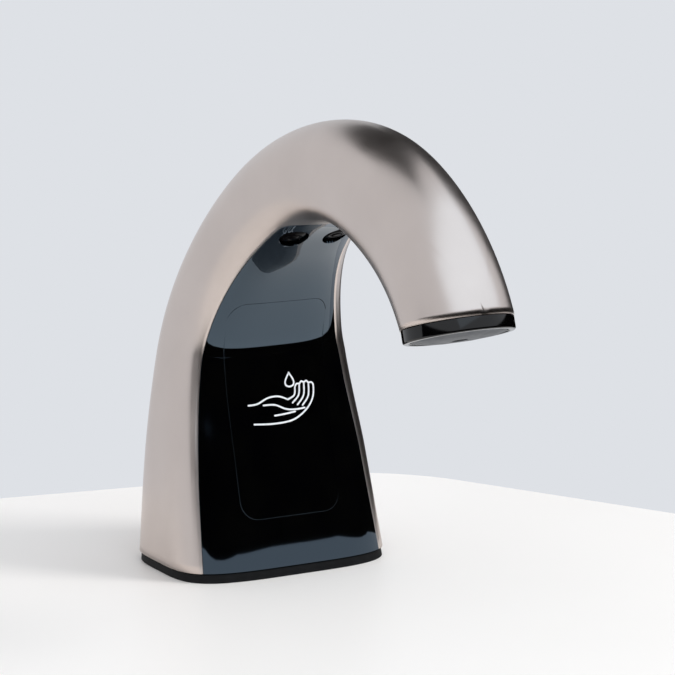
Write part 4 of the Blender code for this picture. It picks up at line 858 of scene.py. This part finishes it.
def make_gasket():
    """The foot gasket with its holes for the studs and the inlet."""
    inset = GASKET_INSET + SKIN
    rows = (
        (0.0, inset + CHAMFER), (CHAMFER, inset), (GASKET_HEIGHT - CHAMFER, inset),
        (GASKET_HEIGHT, inset + CHAMFER),
    )
    loops = [skin_loop(height, GASKET_COLUMNS, row_inset) for height, row_inset in rows]
    gasket = stand_for("base_gasket", "gasket_skin", stacked_grid(loops, capped=True))
    holes = bmesh.new()
    for name, radius in GASKET_HOLES:
        round_bar(holes, axis_frame(name), radius, -OVERRUN, FOOT_Z)
    cut(gasket, "gasket_holes", holes)
    settle(gasket)


# The printed sign, in millimetres across and above the deck
SIGN_STEPS = 6
SIGN_END_STEPS = 4
SIGN_HALF_WIDTH = 0.26
DROP_MIDDLE = (4.3, 56.4)
DROP_RADIUS = 2.1
DROP_TAPER = 1.5
DROP_POINTS = 20
SIGN_STROKES = (
    ((-10.2, 50.0), (-7.2, 50.2), (-3.6, 51.6), (0.0, 51.8), (3.2, 50.6)),
    ((-5.2, 49.6), (-1.4, 49.4), (2.2, 47.9), (5.4, 47.5), (8.6, 47.7)),
    ((-1.8, 46.3), (1.6, 46.5), (5.2, 46.9)),
    ((3.2, 50.6), (5.5, 51.7), (6.0, 54.0)),
    ((4.7, 49.5), (7.0, 51.6), (7.6, 54.9)),
    ((6.3, 48.8), (8.7, 51.4), (9.2, 55.2)),
    ((8.0, 48.5), (10.3, 51.1), (10.8, 54.9)),
    (
        (6.0, 54.0), (6.6, 54.9), (7.6, 54.9), (8.3, 55.5), (9.2, 55.2), (10.1, 55.5), (10.8, 54.9),
        (11.8, 54.9), (12.4, 54.0), (12.0, 51.0), (10.4, 48.4), (7.4, 46.0), (3.5, 44.4),
        (-2.5, 44.0), (-9.0, 44.4),
    ),
)
PRINT_RISE = 0.00003


def sign_points(stroke, closed):
    """A smooth line through the points of a stroke."""
    count = len(stroke)
    line = []
    for piece in range(count if closed else count - 1):
        corners = []
        for spot in range(piece - 1, piece + 3):
            spot = spot % count if closed else min(max(spot, 0), count - 1)
            corners.append(Vector(stroke[spot]))
        before, start, end, after = corners
        for step in range(SIGN_STEPS):
            t = step / SIGN_STEPS
            bend = (end - before) * 0.5 * t * (1 - t) ** 2 - (after - start) * 0.5 * t * t * (1 - t)
            line.append(start * (1 + 2 * t) * (1 - t) ** 2 + end * t * t * (3 - 2 * t) + bend)
    line.append(Vector(stroke[0]) if closed else Vector(stroke[-1]))
    return line


def print_stroke(bm, stroke, rise, closed=False):
    """A flat ribbon of ink with round ends along a stroke, just proud of the door's skin."""
    line = sign_points(stroke, closed)
    last = len(line) - 1
    spots = []
    for number, middle in enumerate(line):
        if closed:
            way = line[(number + 1) % last] - line[(number - 1) % last]
        else:
            way = line[min(number + 1, last)] - line[max(number - 1, 0)]
        spots.append((middle, way.normalized(), 1.0))
    if not closed:
        for end, sense in ((0, -1.0), (-1, 1.0)):
            middle, way, _ = spots[end]
            extra = [
                (middle + way * (sense * SIGN_HALF_WIDTH * sine), way, cosine)
                for sine, cosine in quarter(SIGN_END_STEPS)[1:]
            ]
            spots = extra[::-1] + spots if end == 0 else spots + extra
    columns = len(spots) - 1
    grid = bmesh.ops.create_grid(bm, x_segments=columns, y_segments=2, size=0.5)
    depth = COVER_RECESS + SKIN - rise
    for vert in grid["verts"]:
        middle, way, width = spots[round((vert.co.x + 0.5) * columns)]
        side = Vector((-way.y, way.x)) * (vert.co.y * 2 * SIGN_HALF_WIDTH * width)
        x, height = (middle + side) / 1000
        vert.co = front_point(front_length(x, height, depth), x, depth)


def make_sign():
    """The white drawing of a drop over an open hand, screen-printed on the door."""
    bm = bmesh.new()
    drop = []
    for step in range(DROP_POINTS):
        t = 2 * pi * step / DROP_POINTS
        across = DROP_RADIUS * sin(t) * sin(t / 2) ** DROP_TAPER
        drop.append((DROP_MIDDLE[0] + across, DROP_MIDDLE[1] + DROP_RADIUS * cos(t)))
    print_stroke(bm, drop, PRINT_RISE, closed=True)
    for number, stroke in enumerate(SIGN_STROKES, 1):
        print_stroke(bm, stroke, PRINT_RISE + number * WELD)
    bmesh.ops.remove_doubles(bm, verts=bm.verts, dist=WELD / 4)
    bmesh.ops.recalc_face_normals(bm, faces=bm.faces)
    for face in bm.faces:
        face.normal_update()
        if face.normal.y > 0:
            face.normal_flip()
    sign = add_piece("sign_print", bm, PRINT_WHITE, "door", "white_moulding")
    settle(sign, wall=PRINT_RISE - WELD)


# Small parts

# Valve: (radius, height over the nozzle's face) from its foot to its tip, and the slit across it
VALVE_PROFILE = (
    (0.0, 0.002), (VALVE_RADIUS - SKIN, 0.002), (VALVE_RADIUS - SKIN, 0.0042), (0.0017, 0.0045),
    (0.00135, 0.00462), (0.0009, 0.00465), (0.0, 0.00465),
)
VALVE_SLIT = (0.0022, 0.00025, 0.001)
VALVE_SLIT_HEIGHT = 0.0046


def make_valve():
    """The soft valve with its slit."""
    valve = stand_for("outlet_valve", "valve_skin", turned(NOZZLE_FRAME, VALVE_PROFILE))
    slit = bmesh.new()
    block(slit, NOZZLE_FRAME @ raised(VALVE_SLIT_HEIGHT), VALVE_SLIT)
    cut(valve, "valve_slit", slit)
    settle(valve)


# Where the crest of a thread lies, as shares of its pitch
THREAD_CREST = (0.4, 0.6)


def thread_rows(radius, low, high, pitch, depth):
    """Rows up a turned thread form from low to high."""
    rows = [(radius - depth, low)]
    for turn in range(int((high - low) / pitch)):
        start = low + turn * pitch
        rows += [(radius, start + pitch * share) for share in THREAD_CREST]
        rows.append((radius - depth, start + pitch))
    return rows


# Threaded inserts and inlet: radii, and heights over the deck
STUD_HEIGHTS = (0.0029, 0.0073, 0.0085)
STUD_BORE = 0.0021
STUD_GRIP = 0.004
STUD_FLANGE = 0.0052
STUD_PITCH = 0.0007
STUD_THREAD = 0.0004
SPIGOT_HEIGHTS = (0.0006, 0.0023, 0.0054, 0.007)
SPIGOT_BORE = 0.0014
SPIGOT_FLANGE = 0.0046
SPIGOT_STEM = 0.0032
SPIGOT_NECK = 0.0019


def drum(radius, low, high):
    """Rows up the wall of a drum with a chamfer at its top."""
    return [(radius, low), (radius, high - CHAMFER), (radius - CHAMFER, high)]


def make_foot_fittings():
    """The threaded brass inserts and the stepped inlet seen from below."""
    low, step, high = STUD_HEIGHTS
    bore = [
        (2 * STUD_BORE + STUD_THREAD - radius, height)
        for radius, height in thread_rows(STUD_BORE + STUD_THREAD, low, high, STUD_PITCH, STUD_THREAD)
    ]
    insert = [
        (STUD_GRIP - CHAMFER, low), (STUD_GRIP, low + CHAMFER), (STUD_GRIP, step),
        (STUD_FLANGE - CHAMFER, step), *drum(STUD_FLANGE, step + CHAMFER, high), *bore[::-1],
    ]
    foot, flange, stem, top = SPIGOT_HEIGHTS
    inlet = [
        (SPIGOT_BORE, foot), (SPIGOT_FLANGE - CHAMFER, foot),
        *drum(SPIGOT_FLANGE, foot + CHAMFER, flange), *drum(SPIGOT_STEM, flange, stem),
        *drum(SPIGOT_NECK, stem, top), (SPIGOT_BORE, top),
    ]
    profiles = {"stud_insert_left": insert, "stud_insert_right": insert, "inlet_spigot": inlet}
    for name, profile in profiles.items():
        stand_for(name, name + "_skin", turned(axis_frame(name), profile))


DRUM_STEPS = 5


def drum_rows(radius, edge, low, high):
    """Rows up the wall of a drum with round edges."""
    bend = quarter(DRUM_STEPS)
    rows = [(radius - edge * (1 - sine), low + edge * (1 - cosine)) for sine, cosine in bend]
    return rows + [(radius - edge * (1 - cosine), high - edge * (1 - sine)) for sine, cosine in bend]


# AA cells: the can with its raised end in a groove, and the film round it
CELL_RADIUS = 0.00725
CELL_LENGTH = 0.0495
CELL_EDGE = 0.0007
CELL_NUB = 0.00275
CELL_NUB_HEIGHT = 0.001
CELL_LIFT = 0.0001
CELL_GROOVE = 0.0006
CELL_DIP = 3 * CELL_LIFT
CELL_SIDES = 96
JACKET_WALL = 0.00012
JACKET_LAP = 0.0008


def make_cells():
    """Two cells, each a steel can with a raised end and a film jacket lapped over both ends."""
    film = CELL_RADIUS - SKIN
    lap = film - CELL_EDGE - JACKET_LAP
    nub = CELL_NUB - SKIN
    top = CELL_LENGTH + CELL_NUB_HEIGHT - SKIN
    shoulder = CELL_LENGTH - CELL_LIFT
    can = [
        (0.0, CELL_LIFT), *drum_rows(film - JACKET_WALL, CELL_EDGE, CELL_LIFT, shoulder),
        (nub + CELL_GROOVE, shoulder), (nub, CELL_LENGTH - CELL_DIP), (nub, top - CHAMFER),
        (nub - CHAMFER, top), (0.0, top),
    ]
    jacket = [(lap, 0.0), *drum_rows(film, CELL_EDGE, 0.0, CELL_LENGTH), (lap, CELL_LENGTH)]
    for name, turn in (("cell_left", 0.0), ("cell_right", pi)):
        place = end_frame(name, turn)
        stand_for(name, name + "_can", turned(place, can, CELL_SIDES), FINISHES["steel"])
        stand_for(name, name + "_film", turned(place, jacket, CELL_SIDES))


SPRING_WIRE = 0.00038
SPRING_WIDE = 0.0042
SPRING_NARROW = 0.0026
SPRING_TURNS = 2.5
SPRING_RISE = 0.0026
SPRING_STEPS = 90
WIRE_SIDES = 12
SPRING_FEET = (("left", 0.0234, 1.0), ("right", 0.0768, -1.0))


def make_springs():
    """Conical springs of round wire under one end of each cell."""
    for side, foot, sense in SPRING_FEET:
        name = "contact_spring_" + side
        axis = axis_frame("cell_" + side)
        loops = []
        for step in range(SPRING_STEPS + 1):
            share = step / SPRING_STEPS
            angle = 2 * pi * SPRING_TURNS * share
            outward = Vector((cos(angle), sin(angle), 0.0))
            centre = axis @ Vector((0.0, 0.0, foot + sense * SPRING_RISE * share))
            centre += outward * between(SPRING_WIDE, SPRING_NARROW, share)
            loop = []
            for corner in range(WIRE_SIDES):
                swing = 2 * pi * corner / WIRE_SIDES
                way = outward * cos(swing) + Vector((0.0, 0.0, sin(swing)))
                loop.append(centre + way * SPRING_WIRE)
            loops.append(loop)
        stand_for(name, name + "_wire", stacked_grid(loops, capped=True))


# Screws: (name without its end, ends, shank radius, head radius, head height, turn about X)
SCREWS = (
    ("base_screw_", "1234", 0.0015, 0.0028, 0.002, 0.0),
    ("tray_screw_", ("left", "right"), 0.00125, 0.0023, 0.0016, pi),
)
THREAD_PITCH = 0.0006
THREAD_DEPTH = 0.0002
SCREW_SIDES = 48

# Shares of the size of the head, or of the shank for the point
PAN_HEAD = ((0.0, 1.0), (0.5, 1.0), (0.8, 0.93), (0.94, 0.75))
HEAD_SHOULDER = 0.5
SCREW_POINT = ((0.3, 0.2), (0.0, 0.1))
CROSS_ARMS = ((0.9, 0.28), (0.28, 0.9))


def make_screws():
    """Pan-head screws with a cross recess and thread rings."""
    for stem, ends, shank, head, rise, turn in SCREWS:
        for end in ends:
            name = stem + end
            low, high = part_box(name)
            length = high[2] - low[2] - rise
            place = end_frame(name, turn, rise)
            profile = [(across * head, -up * rise) for across, up in PAN_HEAD]
            profile += [(head - SKIN, -HEAD_SHOULDER * rise), (head - SKIN, 0.0)]
            profile += thread_rows(shank, 0.0, length - shank, THREAD_PITCH, THREAD_DEPTH)
            profile += [(across * shank, length - back * shank) for across, back in SCREW_POINT]
            screw = stand_for(name, name + "_thread", turned(place, profile, SCREW_SIDES))
            cross = bmesh.new()
            for across, along in CROSS_ARMS:
                block(cross, place @ raised(-rise), (across * head, along * head, rise))
            cut(screw, name + "_cross", cross, crossed=True)
            settle(screw)


# Edge rounds of the plain inner parts
ROUNDED = (
    ("battery_tray", 0.0002), ("base_plate", 0.0003), ("pump_body", 0.0003), ("pump_cover", 0.0003),
    ("gear_motor", 0.0003), ("sensor_carrier", 0.0002), ("control_board", 0.00008),
    ("board_chip", 0.00012), ("board_connector", 0.00012), ("board_capacitor", 0.0003),
    ("contact_high_left", 0.00008), ("contact_high_right", 0.00008), ("contact_low_left", 0.00008),
    ("contact_low_right", 0.00008), ("drive_gear", 0.0001), ("idler_gear", 0.0001),
    ("drive_shaft", 0.00015), ("idler_pin", 0.00015), ("nozzle_insert", 0.0002),
)
FLAT_ANGLE = radians(1)


def make_rounded_parts():
    """Plain parts from the solids with their sharp edges rounded."""
    for name, width in ROUNDED:
        source = frame["nodes"][name]
        bm = bmesh.new()
        bm.from_mesh(source.data)
        bmesh.ops.transform(bm, matrix=source.matrix_world, verts=bm.verts)
        bmesh.ops.remove_doubles(bm, verts=bm.verts, dist=WELD)
        bmesh.ops.dissolve_limit(bm, angle_limit=FLAT_ANGLE, verts=bm.verts, edges=bm.edges)
        bmesh.ops.recalc_face_normals(bm, faces=bm.faces)
        settle(stand_for(name, name + "_rounded", bm), bevel=width)


make_shell()
make_cover()
make_door()
make_lenses()
make_nozzle()
make_gasket()
make_sign()
make_valve()
make_foot_fittings()
make_cells()
make_springs()
make_screws()
make_rounded_parts()


# Studio


def bearing(azimuth, elevation=0.0):
    """The direction at an azimuth from the front towards +X and an elevation."""
    turn, rise = radians(azimuth), radians(elevation)
    return Vector((sin(turn) * cos(rise), -cos(turn) * cos(rise), sin(rise)))


def point_at(made, place, target):
    """Stand an object at a place with its -Z towards a target."""
    made.location = place
    made.rotation_euler = (place - Vector(target)).to_track_quat("Z", "Y").to_euler()


CAMERA_BEARING = (-29.56, 9.96)
CAMERA_DISTANCE = 0.741
CAMERA_AIM = Vector((0.0, -0.0424, 0.0741))
CAMERA_LENS = 137.4
CAMERA_FILM = 36.0
CAMERA_SHIFT = (0.0099, 0.0025)

lens = bpy.data.cameras.new("camera")
lens.lens = CAMERA_LENS
lens.sensor_width = CAMERA_FILM
lens.shift_x, lens.shift_y = CAMERA_SHIFT
camera = add_object("camera", lens)
point_at(camera, CAMERA_AIM + bearing(*CAMERA_BEARING) * CAMERA_DISTANCE, CAMERA_AIM)
scene.camera = camera


TABLE_CORNER = Vector((0.0936, 0.0917, 0.0))
TABLE_LEFT = Vector((-0.988, 0.154, 0.0)) * 0.5
TABLE_NEAR = Vector((0.427, -0.904, 0.0)) * 0.5
TABLE_THICKNESS = 0.02
TABLE_ROUND = 0.035
TABLE_ROUND_STEPS = 12
TABLE_EDGE = 0.002


def make_table():
    """The table's top with its rounded corner."""
    bm = bmesh.new()
    bmesh.ops.create_grid(bm, x_segments=1, y_segments=1, size=0.5)
    for vert in bm.verts:
        vert.co = TABLE_CORNER + TABLE_LEFT * (vert.co.x + 0.5) + TABLE_NEAR * (vert.co.y + 0.5)
    bmesh.ops.bevel(
        bm, geom=bm.verts[:], offset=TABLE_ROUND, segments=TABLE_ROUND_STEPS, affect="VERTICES",
        profile=0.5, material=-1,
    )
    grown = bmesh.ops.extrude_face_region(bm, geom=bm.faces[:])["geom"]
    lowered = [item for item in grown if isinstance(item, bmesh.types.BMVert)]
    bmesh.ops.translate(bm, verts=lowered, vec=(0.0, 0.0, -TABLE_THICKNESS))
    bmesh.ops.recalc_face_normals(bm, faces=bm.faces)
    table = add_piece("table", bm, TABLE_WHITE)
    settle(table, bevel=TABLE_EDGE)


# Upright card round the front: (azimuth, lower edge). It gives the panel its black zone
UPRIGHT_CARD = (
    (-60, 0.057), (-45, 0.054), (-20, 0.056), (5, 0.057), (22, 0.053), (35, 0.048), (45, 0.041),
    (55, 0.034), (65, 0.028), (75, 0.019), (85, 0.009), (100, 0.003),
)
UPRIGHT_CARD_REACH = 0.2
UPRIGHT_CARD_HIGH = 0.108
UPRIGHT_CARD_COLUMNS = 8

# Card on the table, which darkens the panel's foot: azimuths and distances
FLOOR_CARD_TURNS = (-45, 95)
FLOOR_CARD_REACH = (0.19, 1.4)
FLOOR_CARD_Z = 0.001
FLOOR_CARD_GRID = (24, 2)

# Cards round a place on the crown: one for the nose's dark edge, one for the crown's dark streak
STREAK_PLACE = Vector((0.003, -0.088, 0.125))
SIDE_CARD_TURNS = (106, 147)
SIDE_CARD_RISES = (-16, 40)
SIDE_CARD_GRID = (8, 8)
CROWN_CARD = ((127, 33), (120, 88), (150, 20), (212, 52))
CROWN_CARD_GRID = (12, 8)


def hang_card(name, grid, place):
    """A felt card that only reflections see."""
    made = add_piece(name, mapped_grid(*grid, place), FELT)
    made.visible_camera = False
    made.visible_diffuse = False
    made.visible_shadow = False
    made.visible_transmission = False


def make_cards():
    """The four felt cards, clear of every pose."""
    spans = len(UPRIGHT_CARD) - 1
    corners = [bearing(*corner) for corner in CROWN_CARD]

    def upright_place(u, v):
        row = min(int(u * spans), spans - 1)
        azimuth, low = [
            between(a, b, u * spans - row) for a, b in zip(UPRIGHT_CARD[row], UPRIGHT_CARD[row + 1])
        ]
        rise = Vector((0.0, 0.0, between(low, UPRIGHT_CARD_HIGH, v)))
        return bearing(azimuth) * UPRIGHT_CARD_REACH + rise

    def floor_place(u, v):
        reach = between(*FLOOR_CARD_REACH, v)
        return bearing(between(*FLOOR_CARD_TURNS, u)) * reach + Vector((0.0, 0.0, FLOOR_CARD_Z))

    def side_place(u, v):
        return STREAK_PLACE + bearing(between(*SIDE_CARD_TURNS, u), between(*SIDE_CARD_RISES, v))

    def crown_place(u, v):
        right = corners[0].slerp(corners[1], u)
        left = corners[2].slerp(corners[3], u)
        return STREAK_PLACE + right.slerp(left, v)

    hang_card("upright_card", (UPRIGHT_CARD_COLUMNS * spans, 1), upright_place)
    hang_card("floor_card", FLOOR_CARD_GRID, floor_place)
    hang_card("side_card", SIDE_CARD_GRID, side_place)
    hang_card("crown_card", CROWN_CARD_GRID, crown_place)


def soft_box(name, place, target, size, power, colour="ffffff", mirrored=True):
    """A rectangular lamp; reflections see it only where it is mirrored."""
    lamp = bpy.data.lights.new(name, "AREA")
    lamp.shape = "RECTANGLE"
    lamp.size, lamp.size_y = size
    lamp.energy = power
    lamp.color = linear(colour)[:3]
    made = add_object(name, lamp)
    made.visible_glossy = mirrored
    point_at(made, place, target)


make_table()
make_cards()
soft_box("key", bearing(27, 50), target=(0.0, 0.0, 0.05), size=(1.9, 0.95), power=3.6, colour="d6eeff")
soft_box(
    "side", bearing(52, 32) * 1.1, target=(0.0, 0.0, 0.0), size=(0.35, 0.35), power=6.0, mirrored=False
)

BACKDROP_GREY = "dee1e6"
world = bpy.data.worlds.new("studio")
world.use_nodes = True
scene.world = world
backdrop = world.node_tree.nodes["Background"]
backdrop.inputs["Color"].default_value = linear(BACKDROP_GREY)
backdrop.inputs["Strength"].default_value = 1.0
scene.view_settings.view_transform = "Standard"
